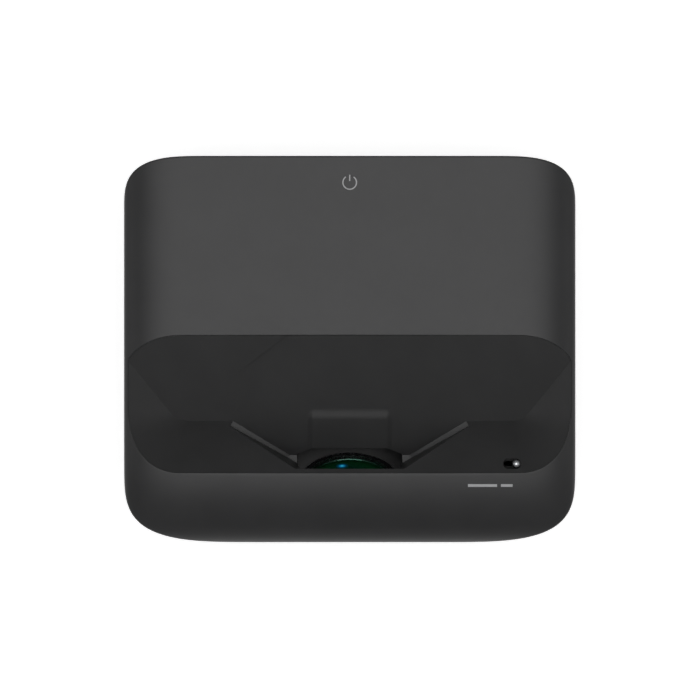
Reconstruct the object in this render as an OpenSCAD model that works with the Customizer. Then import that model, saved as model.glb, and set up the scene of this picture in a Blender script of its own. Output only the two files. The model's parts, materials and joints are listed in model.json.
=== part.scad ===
// Ultra-short-throw home projector, standing on a table with its back to the wall.
// X runs to the right for a viewer in the room, Y towards the wall, Z up.
// The origin is on the table, under the middle of the body.

/* [Body] */
// Overall width, left to right
body_w = 467; // [440:1:580]
// Overall depth, room side to wall side
body_d = 400; // [370:1:490]
// Overall height, feet included
body_h = 133; // [125:1:162]
// Height of the underside above the table
floor_gap = 9; // [7:0.5:14]
// Wall thickness of the moulded shells
wall = 2.5; // [1.5:0.1:4]
// Height of the parting line between the base case and the top cover
seam_z = 76; // [74:1:80]
// Gap along the parting lines of the shells
seam_gap = 0.4; // [0.2:0.1:0.8]

/* [Outline corners] */
// Rear corner, extent along X
rear_corner_x = 86; // [60:1:110]
// Rear corner, extent along Y
rear_corner_y = 55; // [40:1:80]
// Rear corner, squareness exponent
rear_corner_power = 3.2; // [2:0.1:4]
// Front corner, extent along X
front_corner_x = 149; // [100:1:170]
// Front corner, extent along Y
front_corner_y = 82; // [60:1:100]
// Front corner, squareness exponent
front_corner_power = 3.7; // [2:0.1:4]

/* [Top surface] */
// Width of the rounded shoulder along each side
shoulder_w = 59; // [40:1:70]
// How far the shoulder drops at the side
shoulder_drop = 21; // [14:1:26]
// Depth of the rounded nose at the front
nose_d = 110; // [90:1:130]
// How far the nose drops at the front edge
nose_drop = 50; // [40:1:52]

/* [Light recess] */
// Distance from the front edge to the recess's rear rim
recess_rear = 215; // [200:1:230]
// Distance from the front edge to the crease of the recess
recess_crease = 126; // [120:1:135]
// Distance from the front edge to the lip over the lens
recess_lip = 73; // [70:1:80]
// Fall of the rear slope, height over length
rear_slope = 0.5; // [0.45:0.01:0.55]
// Distance from the side to the recess's side rim
side_rim = 4.5; // [3.5:0.5:7]
// Rise of the side facets, height over length
side_slope = 0.63; // [0.55:0.01:0.7]
// Radius of the rounded corner between crease and side facet
crease_r = 10; // [6:1:16]
// Wall thickness of the recess tray
tray_wall = 2.2; // [1.5:0.1:3]

/* [Lens trench] */
// Half width of the trench at the crease
trench_rear_half = 121; // [115:1:130]
// Angle in plan between each trench edge and the crease
trench_angle = 30.5; // [28:0.5:34]
// Width of the ledge along each trench edge
ledge_w = 5.7; // [4:0.1:8]
// Rise of the ledge along its length, height over length
ledge_slope = 0.26; // [0.2:0.01:0.3]
// Rise of the trench walls, height over length
trench_wall_slope = 11; // [8:1:14]
// Half width of the raised pad behind the lens
pad_half = 42; // [30:1:45]
// Length of the pad in plan
pad_l = 39.3; // [34:0.1:41]
// Length of the pad's flatter rear face
pad_step = 9.4; // [7:0.2:12]
// Height of the pad above the rear slope
pad_rise = 1.9; // [1:0.1:3]
// Depth of the strip that spans the trench at the lip
strip_d = 4.2; // [3:0.1:6]

/* [Lens] */
// Distance from the front edge to the lens centre
lens_from_front = 66; // [64:1:70]
// Height of the lens centre
lens_z = 68; // [66:1:70]
// Elevation of the lens axis
lens_tilt = 31; // [28:1:33]
// Outer radius of the lens ring
ring_r = 51; // [48:0.5:51.5]
// Radius of the front glass
glass_r = 44; // [40:0.5:45]
// Rise of the front glass at its centre
glass_bulge = 7; // [4:0.5:8]
// Travel of the focus lever
focus_travel = 9; // [6:0.5:10]
// Diameter of the focus lever's ball
knob_d = 8.6; // [7:0.2:10]
// Distance from the middle to the focus lever
lever_x = 172; // [165:1:174]

/* [Feet and ports] */
// Distance between the feet, left to right
feet_w = 370; // [340:1:400]
// Distance from the front and rear edges to the feet
foot_inset = 55; // [50:1:65]
// Diameter of the foot pads
foot_d = 30; // [24:1:34]
// Radius of the threaded stem of each front foot
stem_r = 6; // [4.5:0.5:7]
// Radius of the headphone socket's bore
jack_r = 1.8; // [1.75:0.05:1.8]

/* [Hidden] */

$fn = 48;
e = 0.01;
run_fit = 0.05;
half_w = body_w / 2;
half_d = body_d / 2;
front_y = -half_d;
floor_z = floor_gap + wall;
corner_steps = 14;
grid_rings = 12;
crease_y = front_y + recess_crease;
crease_z = rear_plane(crease_y);
lip_y = front_y + recess_lip;
lip_z = top_z(0, lip_y);
front_slope = (lip_z - crease_z) / (crease_y - lip_y);
recess_centre = [0, front_y + 145];
side_rim_z = top_z(half_w - side_rim, recess_centre[1]);
crease_half = half_w - side_rim - (side_rim_z - crease_z) / side_slope;
lens_y = front_y + lens_from_front;
well_rear_y = lip_y + 24.4;
well_bend_y = lip_y + 18.2;
well_half = ring_r + 3.8;
skirt_z = 56;
landing_z = rear_plane(well_bend_y - 0.8);
// Base
grille_half = 205;
grille_low = floor_z + 1;
grille_t = 5;
cloth_t = 1.2;
panel_half = 160;
panel_low = 16;
panel_high = 70;
vent_y = 10;
vent_l = 150;
vent_low = 16;
vent_high = 70;
slot_w = 3;
slot_pitch = 6;
fixed_vent_l = 55;
filter_l = vent_l - fixed_vent_l;
filter_y = vent_y + fixed_vent_l / 2;
filter_t = 8;
boss_h = 20;
foot_y = half_d - foot_inset;
screw_r = 1.5;
screw_head_r = 2.75;
screw_head_h = 1.8;
fit_gap = 0.15;
remote_x = 150;
remote_w = 20;
// Focus gear
head_depth = 30;
head_rear_r = 30;
focus_ring_r = 49;
pin_r = 2;
pin_play = 0.25;
bar_y = lens_y - (focus_ring_r + 7) * sin(lens_tilt) - 8 * cos(lens_tilt);
bar_z = lens_z + (focus_ring_r + 7) * cos(lens_tilt) - 8 * sin(lens_tilt) - 1;
bulge_r = (sq(glass_r - 1) + sq(glass_bulge)) / (2 * glass_bulge);
// Optical engine
housing_half = 34;
relay_r = 22;
relay_l = 58;
mirror_t = 3;
engine_w = 54;
engine_l = 112;
engine_y = front_y + 9;
engine_low = 15;
engine_h = 60;
prism = 24;
motor_r = 4;
laser_w = 32;
sink_w = 44;
pipe_r = 3;
pipe_l = 135;
// Cooling
fan = 58;
fan_t = 20;
blower_x = 0;
blower_y = lens_y + 76;
blower_r = 28;
blower_h = 22;
// Electronics
board_half = 120;
board_z = 20;
board_d = 95;
board_y = half_d - 8 - board_d;
power_x = 50;
power_w = 100;
power_l = 80;
power_y = board_y - 6 - power_l;
port_z = 30;
video_x = [-100, -76, -52];
video_w = 15.5;
video_h = 6.2;
data_x = [-24, -4];
data_w = 14;
data_h = 7.4;
jack_x = 22;
jack_l = 12;
optical_x = 42;
inlet_x = 140;
inlet_w = 22;
inlet_h = 15;
button_y = 108;
button_z = 52;
button_r = 5;
// Sound
cone_stroke = 2;
speaker_x = 176;
speaker_r = 25;
speaker_depth = 28;
speaker_y = front_y + 20;
speaker_z = 42;
woofer_x = 100;
woofer_y = -75;
woofer_r = 38;
woofer_depth = 36;
// Feet
swivel_r = 2.5;
black = [0.07, 0.07, 0.075];
shell = [0.2, 0.2, 0.205];
metal = [0.7, 0.71, 0.72];

// ---- Body surface ----

function sq(a) = a * a;
function arc_drop(u, span, drop) =
    u >= span ? 0 : drop * (1 - sqrt(1 - sq((span - max(u, 0)) / span)));
function top_z(x, y) = body_h - arc_drop(half_w - abs(x), shoulder_w, shoulder_drop)
    - arc_drop(y + half_d, nose_d, nose_drop);
function rear_plane(y) = body_h - rear_slope * (front_y + recess_rear - y);
function power_of(v, power) = sign(v) * pow(abs(v), 2 / power);

// One superelliptic corner of the outline, a quarter turn from the angle start
function corner(cx, cy, rx, ry, power, start) = [for (i = [0 : corner_steps])
    let (a = start + 90 * i / corner_steps)
    [cx + rx * power_of(cos(a), power), cy + ry * power_of(sin(a), power)]];
// Points inside the straight run from a to b
function run(a, b, count) = [for (i = [1 : count]) a + (b - a) * i / (count + 1)];

// The body's outline, moved inwards by t
function outline(t) = let (
    rx = half_w - rear_corner_x, ry = half_d - rear_corner_y,
    fx = half_w - front_corner_x, fy = half_d - front_corner_y,
    rr = corner(rx, ry, rear_corner_x - t, rear_corner_y - t, rear_corner_power, 0),
    rl = corner(-rx, ry, rear_corner_x - t, rear_corner_y - t, rear_corner_power, 90),
    fl = corner(-fx, -fy, front_corner_x - t, front_corner_y - t, front_corner_power, 180),
    fr = corner(fx, -fy, front_corner_x - t, front_corner_y - t, front_corner_power, 270),
    last = corner_steps)
    concat(rr, run(rr[last], rl[0], 7), rl, run(rl[last], fl[0], 7), fl, run(fl[last], fr[0], 5), fr,
        run(fr[last], rr[0], 7));

// Solid under the top surface lowered by drop, inside the outline moved in by t, from the height low up
module body_solid(t, drop, low) {
    edge = outline(t);
    n = len(edge);
    top = [for (k = [1 : grid_rings], p = edge)
        let (f = 1 - pow(1 - k / grid_rings, 1.7), q = recess_centre + (p - recess_centre) * f)
        [q[0], q[1], top_z(q[0], q[1]) - drop]];
    middle = len(top);
    foot = middle + 1;
    points = concat(top, [[recess_centre[0], recess_centre[1], body_h - drop]],
        [for (p = edge) [p[0], p[1], low]]);
    faces = concat(
        [for (i = [0 : n - 1]) [middle, (i + 1) % n, i]],
        [for (k = [0 : grid_rings - 2], i = [0 : n - 1])
            let (a = k * n + i, b = k * n + (i + 1) % n) each [[a, b, b + n], [a, b + n, a + n]]],
        [for (i = [0 : n - 1])
            let (a = (grid_rings - 1) * n + i, b = (grid_rings - 1) * n + (i + 1) % n,
                c = foot + i, d = foot + (i + 1) % n) each [[a, b, d], [a, d, c]]],
        [[for (i = [0 : n - 1]) foot + i]]);
    polyhedron(points, faces);
}

// Extruded band of the outline, from inset outer to inset inner
module band(outer, inner, low, high) {
    translate([0, 0, low]) linear_extrude(high - low) difference() {
        polygon(outline(outer));
        polygon(outline(inner));
    }
}

// ---- Light recess ----

// Everything above a plane through (0, y, z) that climbs by slope along the direction turn
module above_plane(point, slope, turn) {
    translate(point) rotate([0, 0, turn]) rotate([0, -atan(slope), 0])
        translate([-600, -600, 0]) cube([1200, 1200, 400]);
}

// The open space of the recess, its slopes lowered by t: rear slope, front slope, two side facets,
// and a fan of planes between each facet and the front slope
module recess_space(t) {
    intersection() {
        above_plane([0, crease_y, crease_z - t], rear_slope, 90);
        above_plane([0, crease_y, crease_z - t], front_slope, -90);
        intersection_for(s = [-1, 1]) above_plane([s * (half_w - side_rim), 0, side_rim_z - t],
            side_slope, s > 0 ? 0 : 180);
        intersection_for(s = [-1, 1]) intersection_for(f = fan_shares)
            above_plane([s * fan_x(f), fan_y(f), crease_z - t], fan_slope(f), s > 0 ? -90 * f : 180 + 90 * f);
        translate([-half_w, front_y, floor_z]) cube([body_w, body_d, body_h]);
    }
}

// The fan between a side facet (share 0) and the front slope (share 1): its planes touch a
// circle at the height of the crease
fan_shares = [for (i = [1 : 7]) i / 8];
function fan_x(f) = crease_half - crease_r + crease_r * cos(90 * f);
function fan_y(f) = crease_y + crease_r - crease_r * sin(90 * f);
function fan_slope(f) = side_slope + (front_slope - side_slope) * f;

// Height of the recess surface at a place in plan
function recess_z(x, y) = max(rear_plane(y), crease_z + front_slope * (crease_y - y),
    side_rim_z + side_slope * (abs(x) - half_w + side_rim),
    max([for (f = fan_shares)
        crease_z + fan_slope(f) * ((abs(x) - fan_x(f)) * cos(90 * f) - (y - fan_y(f)) * sin(90 * f))]));

// Share of the way from the recess's centre to the edge point p at which the recess meets the top
function rim_share(p, lo, hi, steps) = steps == 0 ? (lo + hi) / 2 :
    let (mid = (lo + hi) / 2, q = recess_centre + (p - recess_centre) * mid)
    recess_z(q[0], q[1]) < top_z(q[0], q[1]) ? rim_share(p, mid, hi, steps - 1)
        : rim_share(p, lo, mid, steps - 1);
function rim(t) = [for (a = [0 : 3 : 357])
    let (p = recess_centre + [1.3 * half_w * cos(a), 100 * sin(a)],
        q = recess_centre + (p - recess_centre) * rim_share(p, 0, 1, 16), d = p - recess_centre)
    q - d / norm(d) * t];

// Trench in front of the crease, grown outwards by t: its floor carries on the rear slope down to a
// level landing, a ledge that is level across runs along each edge, and steep walls rise outside it
module trench_space(t) {
    across = [sin(trench_angle), -cos(trench_angle)];
    outer = [trench_rear_half, crease_y] + across * (ledge_w + t);
    intersection() {
        above_plane([0, crease_y, crease_z - t], rear_slope, 90);
        translate([-half_w, lip_y + strip_d - 2 * t, landing_z - t])
            cube([body_w, body_d, body_h - landing_z]);
        intersection_for(s = [-1, 1]) above_plane([s * trench_rear_half, crease_y, crease_z - t], ledge_slope,
            s > 0 ? trench_angle : 180 - trench_angle);
        intersection_for(s = [-1, 1]) above_plane([s * outer[0], outer[1], crease_z], trench_wall_slope,
            s > 0 ? trench_angle - 90 : 270 - trench_angle);
        intersection_for(s = [-1, 1]) translate([s * trench_rear_half, crease_y, 0])
            rotate([0, 0, s > 0 ? trench_angle : 180 - trench_angle])
            translate([-900, -300, 0]) cube([900 + t, 600, 300]);
    }
    // under the strip, forwards to the lens
    translate([-well_half + 1 - t, lip_y - 30, floor_z]) cube([2 * (well_half - 1 + t),
        31 + strip_d, crease_z + front_slope * (crease_y - lip_y - strip_d) - 2 * tray_wall - floor_z]);
}

// Octagonal opening over the lens, grown by t
module well_plan(t) {
    polygon([[-well_half - t, lip_y - 90], [well_half + t, lip_y - 90], [well_half + t, well_bend_y],
        [40 + t, well_rear_y + t], [-40 - t, well_rear_y + t], [-well_half - t, well_bend_y]]);
}

// Raised pad on the trench floor: a flatter rear face, then parallel to the rear slope
module pad_block() {
    rear_y = well_rear_y + pad_l;
    difference() {
        translate([-pad_half, well_rear_y - 20, skirt_z])
            cube([2 * pad_half, pad_l + 20, rear_plane(rear_y) - skirt_z]);
        above_plane([0, rear_y, rear_plane(rear_y)], rear_slope - pad_rise / pad_step, 90);
        above_plane([0, rear_y, rear_plane(rear_y) + pad_rise], rear_slope, 90);
    }
}

// ---- Shells ----

module top_cover() {
    color(shell) minkowski() {
        difference() {
            body_solid(0, 0, seam_z + seam_gap);
            body_solid(wall, wall, seam_z - 5);
            translate([0, 0, seam_z]) linear_extrude(body_h) polygon(rim(0));
        }
    }
}

module recess_tray() {
    color([0.14, 0.14, 0.145]) minkowski() {
        difference() {
            intersection() {
                union() {
                    recess_space(tray_wall);
                    trench_space(tray_wall);
                    translate([0, 0, skirt_z]) linear_extrude(20) well_plan(tray_wall);
                }
                translate([0, 0, skirt_z]) linear_extrude(body_h) polygon(rim(seam_gap));
            }
            difference() {
                union() {
                    recess_space(0);
                    trench_space(0);
                }
                pad_block();
            }
            translate([0, 0, 30]) linear_extrude(60) well_plan(0);
            // slot of the focus lever
            translate([lever_x - focus_travel - knob_d / 2 - 0.3, lens_y + 11, 60])
                cube([focus_travel + knob_d + 0.6, knob_d + 2, body_h]);
        }
    }
}

// ---- Base ----

// Block that reaches through the side wall at the angle turn (0 right, 180 left)
module side_window(turn, y, length, low, high, shrink) {
    mirror([turn > 0 ? 1 : 0, 0, 0]) translate([half_w - 12, y - length / 2 + shrink, low + shrink])
        cube([24, length - 2 * shrink, high - low - 2 * shrink]);
}
module front_window(shrink) {
    translate([-grille_half + shrink, front_y - 1, grille_low + shrink])
        cube([2 * (grille_half - shrink), 75, seam_z - grille_low + 1 - shrink]);
}
module rear_window(shrink) {
    translate([-panel_half + shrink, half_d - 12, panel_low + shrink])
        cube([2 * (panel_half - shrink), 24, panel_high - panel_low - 2 * shrink]);
}
module at_front_feet() {
    for (s = [-1, 1]) translate([s * feet_w / 2, -foot_y, 0]) children();
}
module at_screws() {
    for (s = [-1, 1], y = [34 - foot_y, foot_y - 34]) translate([s * feet_w / 2, y, floor_gap])
        children();
}

module base_case() {
    color(shell) difference() {
        union() {
            translate([0, 0, floor_gap]) linear_extrude(wall) polygon(outline(0));
            band(0, wall, floor_gap, seam_z);
            at_front_feet() translate([0, 0, floor_gap]) cylinder(r = stem_r + 5, h = boss_h);
            at_screws() cylinder(r = 5, h = boss_h);
        }
        side_window(180, vent_y, vent_l, vent_low, vent_high, 0);
        side_window(0, vent_y, vent_l, vent_low, vent_high, 0);
        front_window(0);
        rear_window(0);
        at_front_feet() translate([0, 0, floor_gap - 1]) cylinder(r = stem_r + run_fit, h = boss_h + 2);
        at_screws() translate([0, 0, -1]) cylinder(r = screw_r + 0.1, h = boss_h + 2);
        at_screws() translate([0, 0, -1]) cylinder(r = screw_head_r + 0.2, h = 1 + screw_head_h);
        // woofer opening and intake slots in the floor
        translate([woofer_x, woofer_y, floor_gap - 1]) cylinder(r = woofer_r - 4, h = wall + 2);
        for (i = [-6 : 6]) translate([i * 9 - 1.5, 20, floor_gap - 1]) cube([3, 46, wall + 2]);
        button_hole(run_fit);
    }
}

module rear_panel() {
    color([0.1, 0.1, 0.105]) difference() {
        intersection() {
            band(0, wall, panel_low, panel_high);
            rear_window(seam_gap);
        }
        for (x = video_x) rear_hole(x, video_w, video_h);
        for (x = data_x) rear_hole(x, data_w, data_h);
        rear_hole(inlet_x, inlet_w, inlet_h);
        translate([jack_x, half_d + 1, port_z]) rotate([90, 0, 0]) cylinder(r = 3.2 + fit_gap, h = 20);
        translate([optical_x - 5 - fit_gap, half_d - 15, port_z - 5 - fit_gap])
            cube([10 + 2 * fit_gap, 20, 10 + 2 * fit_gap]);
    }
}
module rear_hole(x, w, h) {
    translate([x - w / 2 - fit_gap, half_d - 15, port_z - h / 2 - fit_gap])
        cube([w + 2 * fit_gap, 20, h + 2 * fit_gap]);
}

// Louvred side panel between y - length / 2 and y + length / 2
module louvres(turn, y, length) {
    difference() {
        intersection() {
            band(0, wall, vent_low, vent_high);
            side_window(turn, y, length, vent_low, vent_high, seam_gap);
        }
        for (i = [0 : floor((length - 12) / slot_pitch)])
            side_window(turn, y - length / 2 + 7 + i * slot_pitch, slot_w, vent_low + 5, vent_high - 5, 0);
    }
}
module left_vent() { color(shell) louvres(180, vent_y, vent_l); }
module right_vent() {
    color(shell) louvres(0, vent_y - vent_l / 2 + fixed_vent_l / 2, fixed_vent_l);
}
module filter_cover() {
    color(shell) louvres(0, filter_y, filter_l);
}
module air_filter() {
    color([0.75, 0.75, 0.72])
        translate([half_w - wall - 0.5 - filter_t, filter_y - filter_l / 2 + 5, vent_low + 3])
        cube([filter_t, filter_l - 10, vent_high - vent_low - 6]);
    color(black) for (y = [-1, 1])
        translate([half_w - wall - 0.5 - filter_t, filter_y + y * (filter_l / 2 - 4) - 1,
        vent_low + 10]) cube([filter_t + 0.5, 2, 20]);
}

module grille_frame() {
    color(black) difference() {
        intersection() {
            band(cloth_t + 0.2, grille_t, grille_low + 0.2, seam_z);
            front_window(seam_gap);
        }
        for (i = [-4 : 4]) translate([i * 44 - 19, front_y - 1, grille_low + 5])
            cube([38, 75, seam_z - grille_low - 16]);
        translate([remote_x - remote_w / 2 - 0.1, front_y - 1, seam_z - 7.1]) cube([remote_w + 0.2, 75, 5.2]);
    }
}
module grille_cloth() {
    color([0.12, 0.12, 0.125]) intersection() {
        band(0, cloth_t, grille_low + 0.2, seam_z - 9);
        front_window(seam_gap);
    }
}
module remote_window() {
    color([0.15, 0.02, 0.03]) intersection() {
        band(0, grille_t + 0.5, seam_z - 7, seam_z - 2);
        translate([remote_x - remote_w / 2, front_y - 1, seam_z - 7]) cube([remote_w, 75, 5]);
    }
}

// ---- Lens and focus ----

// Frame of the lens: its axis along Z, the front of the lens ring at 0
module at_lens() {
    translate([0, lens_y, lens_z]) rotate([-(90 - lens_tilt), 0, 0]) children();
}
module tube(r_out, r_in, low, high) {
    translate([0, 0, low]) difference() {
        cylinder(r = r_out, h = high - low, $fn = 96);
        translate([0, 0, -1]) cylinder(r = r_in, h = high - low + 2, $fn = 96);
    }
}

module lens_well() {
    color(black) translate([0, 0, floor_z + 0.2]) difference() {
        linear_extrude(55 - floor_z) difference() {
            well_plan(tray_wall);
            well_plan(0);
        }
        translate([-100, -500, -1]) cube([200, 500 + lens_y + 2, 100]);
    }
}
module lens_ring() { color(metal) at_lens() tube(ring_r, glass_r + run_fit, -4, 0); }
module front_lens() {
    color([0.03, 0.12, 0.1]) at_lens() {
        translate([0, 0, -head_depth / 3]) cylinder(r = glass_r, h = head_depth / 3 - 2, $fn = 96);
        translate([0, 0, -2 - e]) rotate_extrude($fn = 96) intersection() {
            translate([0, glass_bulge - bulge_r]) circle(r = bulge_r, $fn = 180);
            square([glass_r - 1, 20]);
        }
    }
}
module lens_head() {
    color(black) at_lens() difference() {
        union() {
            translate([0, 0, -head_depth]) cylinder(r1 = head_rear_r, r2 = ring_r - 3, h = head_depth - 14);
            translate([0, 0, -14 - e]) cylinder(r = focus_ring_r - 3, h = 10);
        }
        translate([0, 0, -head_depth / 3 - 0.2]) cylinder(r = glass_r + run_fit, h = head_depth);
        translate([0, 0, -head_depth - 1]) cylinder(r = head_rear_r - 4, h = head_depth);
        // room for the relay barrel, which leaves the mirror housing to the left
        translate([0, 0, -mirror_d]) rotate([0, -90, 0]) cylinder(r = relay_r + 0.3, h = 100);
    }
}
module focus_ring() {
    color([0.1, 0.1, 0.11]) at_lens() difference() {
        union() {
            tube(focus_ring_r, focus_ring_r - 3 + run_fit, -12, -5);
            translate([-pin_r - 3.5, -focus_ring_r - 4.5, -12]) cube([2 * pin_r + 7, 5, 7]);
        }
        translate([-pin_r - pin_play, -focus_ring_r - 6, -13]) cube([2 * (pin_r + pin_play), 5.5, 9]);
    }
}

// The bar's pin stands radially in the focus ring's fork, so the ring turns as the bar slides
module focus_slider() {
    color(black) {
        at_lens() {
            translate([0, -focus_ring_r - 1, -8.5]) rotate([90, 0, 0]) cylinder(r = pin_r, h = 5.5);
            translate([-6, -focus_ring_r - 8, -12]) cube([lever_x + 10, 2, 8]);
        }
        translate([lever_x - 4, bar_y, bar_z]) cube([8, knob_y() - bar_y + 4, 2]);
        translate([lever_x, knob_y(), bar_z + 1]) cylinder(r = 2, h = knob_z() - bar_z - 1);
    }
}
function knob_y() = lens_y + 12 + knob_d / 2;
function knob_z() = recess_z(lever_x, knob_y()) + 1.5;
module focus_knob() {
    color(metal) difference() {
        translate([lever_x, knob_y(), knob_z()]) sphere(d = knob_d);
        translate([lever_x, knob_y(), knob_z() - knob_d]) cylinder(r = 2, h = knob_d);
    }
}

// ---- Optics ----

mirror_d = head_depth + 10;
mirror_y = lens_y - mirror_d * cos(lens_tilt);
mirror_z = lens_z - mirror_d * sin(lens_tilt);
// Turns Z onto the normal of the fold mirror, halfway between the lens axis and -X
module at_mirror() {
    translate([0, mirror_y, mirror_z]) rotate([-(90 - lens_tilt), 0, 0]) rotate([0, -45, 0]) children();
}
module mirror_housing() {
    color(black) difference() {
        union() {
            at_lens() translate([0, 0, -mirror_d - 8])
                cylinder(r = head_rear_r, h = mirror_d - head_depth + 8);
            translate([-housing_half, mirror_y, mirror_z]) rotate([0, 90, 0])
                cylinder(r = relay_r, h = housing_half);
        }
        at_lens() translate([0, 0, -mirror_d]) cylinder(r = head_rear_r - 4, h = mirror_d);
        translate([-housing_half - 1, mirror_y, mirror_z]) rotate([0, 90, 0])
            cylinder(r = relay_r - 4, h = housing_half);
        at_mirror() translate([-60, -60, -60]) cube([120, 120, 60]);
    }
}
module fold_mirror() {
    color([0.8, 0.82, 0.85]) at_mirror() translate([0, 0, -mirror_t - 0.1])
        linear_extrude(mirror_t) square([34, 44], center = true);
}
module relay_barrel() {
    color(black) translate([-housing_half - 0.1, mirror_y, mirror_z]) rotate([0, -90, 0]) {
        tube(relay_r - 1, relay_r - 5, 0, relay_l);
        tube(relay_r, relay_r - 5, relay_l * 0.2, relay_l * 0.35);
        tube(relay_r, relay_r - 5, relay_l * 0.6, relay_l * 0.75);
    }
}
engine_x = -housing_half - 0.2 - relay_l;
module engine_case() {
    color([0.35, 0.36, 0.38]) difference() {
        translate([engine_x - engine_w, engine_y, engine_low]) cube([engine_w, engine_l, engine_h]);
        translate([engine_x - engine_w + 2, engine_y + 2, engine_low + 2])
            cube([engine_w - 4, engine_l - 4, engine_h - 4]);
        translate([engine_x - 10, mirror_y, mirror_z]) rotate([0, 90, 0]) cylinder(r = relay_r - 5, h = 20);
        translate([wheel_x, engine_y + engine_l + 1, mirror_z]) rotate([90, 0, 0]) cylinder(r = 10, h = 10);
        translate([engine_x - engine_w - 1, laser_y, mirror_z - 10]) cube([10, 20, 20]);
    }
}
prism_x = engine_x - 26;
module combining_prism() {
    color([0.8, 0.9, 0.95, 0.6]) translate([prism_x, mirror_y, mirror_z]) cube(prism, center = true);
}
module lcd_panels() {
    color([0.3, 0.3, 0.35]) translate([prism_x, mirror_y, mirror_z]) {
        translate([-prism / 2 - 4, 0, 0]) cube([2, prism + 2, prism + 2], center = true);
        for (s = [-1, 1]) translate([0, s * (prism / 2 + 4), 0])
            cube([prism + 2, 2, prism + 2], center = true);
    }
}
module dichroic_mirrors() {
    color([0.6, 0.7, 0.9]) for (i = [0, 1, 2]) translate([prism_x, mirror_y + 40 + 18 * i, mirror_z])
        rotate([0, 0, 45]) cube([24, 1.2, 24], center = true);
}
wheel_x = prism_x;
wheel_y = engine_y + engine_l + 8;
module phosphor_wheel() {
    color([0.85, 0.75, 0.3]) translate([wheel_x, wheel_y, mirror_z]) rotate([-90, 0, 0]) {
        difference() {
            cylinder(r = 22, h = 2);
            translate([0, 0, -1]) cylinder(r = motor_r + run_fit, h = 4);
        }
        for (a = [0 : 60 : 300]) rotate([0, 0, a]) translate([14, -1, -2]) cube([6, 2, 2.1]);
    }
}
module wheel_motor() {
    color(metal) translate([wheel_x, wheel_y, mirror_z]) rotate([-90, 0, 0]) {
        translate([0, 0, -1.5]) cylinder(r = motor_r, h = 6);
        translate([0, 0, 4]) cylinder(r = 12, h = 12);
        translate([-2, -25, 6]) cube([4, 50, 3]);
    }
}
laser_y = engine_y + engine_l - 30;
laser_x = engine_x - engine_w - 0.2;
module laser_module() {
    color([0.75, 0.55, 0.35]) difference() {
        translate([laser_x - laser_w, laser_y - 14, engine_low + 4]) cube([laser_w, 48, engine_h - 8]);
        pipes(pipe_r + run_fit);
    }
}
module pipes(r) {
    for (z = [-14, 0, 14]) translate([laser_x - laser_w / 2, laser_y - 8, mirror_z + z]) rotate([-90, 0, 0])
        cylinder(r = r, h = pipe_l);
}
module heat_pipes() { color([0.72, 0.45, 0.3]) pipes(pipe_r); }
module laser_heatsink() {
    color([0.75, 0.76, 0.77]) difference() {
        union() {
            translate([laser_x - sink_w, vent_y - 34, engine_low]) cube([sink_w, 68, 3]);
            for (i = [0 : 12]) translate([laser_x - sink_w, vent_y - 34 + i * 5.55, engine_low + 3 - e])
                cube([sink_w, 1.2, engine_h - 3]);
        }
        pipes(pipe_r + run_fit);
    }
}

// ---- Cooling ----

module fan_frame() {
    difference() {
        translate([-fan / 2, -fan / 2, 0]) cube([fan, fan, fan_t]);
        translate([0, 0, 3]) cylinder(r = fan / 2 - 2, h = fan_t);
        difference() {
            translate([0, 0, -1]) cylinder(r = fan / 2 - 2, h = 5);
            translate([0, 0, -2]) cylinder(r = 13, h = 7);
            for (a = [0, 90]) rotate([0, 0, a + 45]) translate([-fan / 2, -2, -2]) cube([fan, 4, 7]);
        }
        for (x = [-1, 1], y = [-1, 1]) translate([x * (fan / 2 - 4), y * (fan / 2 - 4), -1])
            cylinder(r = 1.6, h = fan_t + 2);
    }
    translate([0, 0, 2]) cylinder(r = 2, h = 10);
}
module fan_rotor() {
    difference() {
        translate([0, 0, 4]) cylinder(r = 13, h = fan_t - 5);
        translate([0, 0, 3]) cylinder(r = 2 + run_fit, h = 9.5);
    }
    for (i = [0 : 6]) rotate([0, 0, i * 360 / 7]) translate([12, 0, 4 + (fan_t - 5) / 2])
        rotate([35, 0, 0]) translate([0, -0.7, -(fan_t - 8) / 2]) cube([fan / 2 - 16, 1.4, fan_t - 8]);
}
module at_exhaust() {
    translate([-half_w + wall + 1.5, vent_y, fan_z()]) rotate([0, 90, 0]) children();
}
module at_intake() {
    translate([half_w - wall - 3 - filter_t, filter_y, fan_z()]) rotate([0, -90, 0]) children();
}
function fan_z() = floor_z + 0.5 + fan / 2;
module exhaust_fan_frame() { color(black) at_exhaust() fan_frame(); }
module exhaust_fan_rotor() { color([0.15, 0.15, 0.16]) at_exhaust() fan_rotor(); }
module intake_fan_frame() { color(black) at_intake() fan_frame(); }
module intake_fan_rotor() { color([0.15, 0.15, 0.16]) at_intake() fan_rotor(); }

module at_blower() { translate([blower_x, blower_y, floor_z + 0.5]) children(); }
module blower_housing() {
    color(black) at_blower() {
        difference() {
            union() {
                cylinder(r = blower_r, h = blower_h);
                translate([-blower_r, -blower_r - 6, 0]) cube([22, blower_r + 6, blower_h]);
            }
            translate([0, 0, 2]) cylinder(r = blower_r - 2, h = blower_h - 4);
            translate([0, 0, blower_h - 3]) cylinder(r = blower_r - 10, h = 5);
            translate([-blower_r + 2, -blower_r - 7, 2]) cube([18, blower_r + 7, blower_h - 4]);
        }
        cylinder(r = 2, h = blower_h - 4);
    }
}
module blower_rotor() {
    color([0.15, 0.15, 0.16]) at_blower() difference() {
        union() {
            translate([0, 0, 3]) cylinder(r = 10, h = blower_h - 6);
            translate([0, 0, 3]) cylinder(r = blower_r - 6, h = 1.5);
            for (i = [0 : 15]) rotate([0, 0, i * 22.5]) translate([blower_r - 14, -0.5, 3])
                cube([8, 1, blower_h - 8]);
        }
        translate([0, 0, 2]) cylinder(r = 2 + run_fit, h = blower_h - 5);
    }
}

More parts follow.
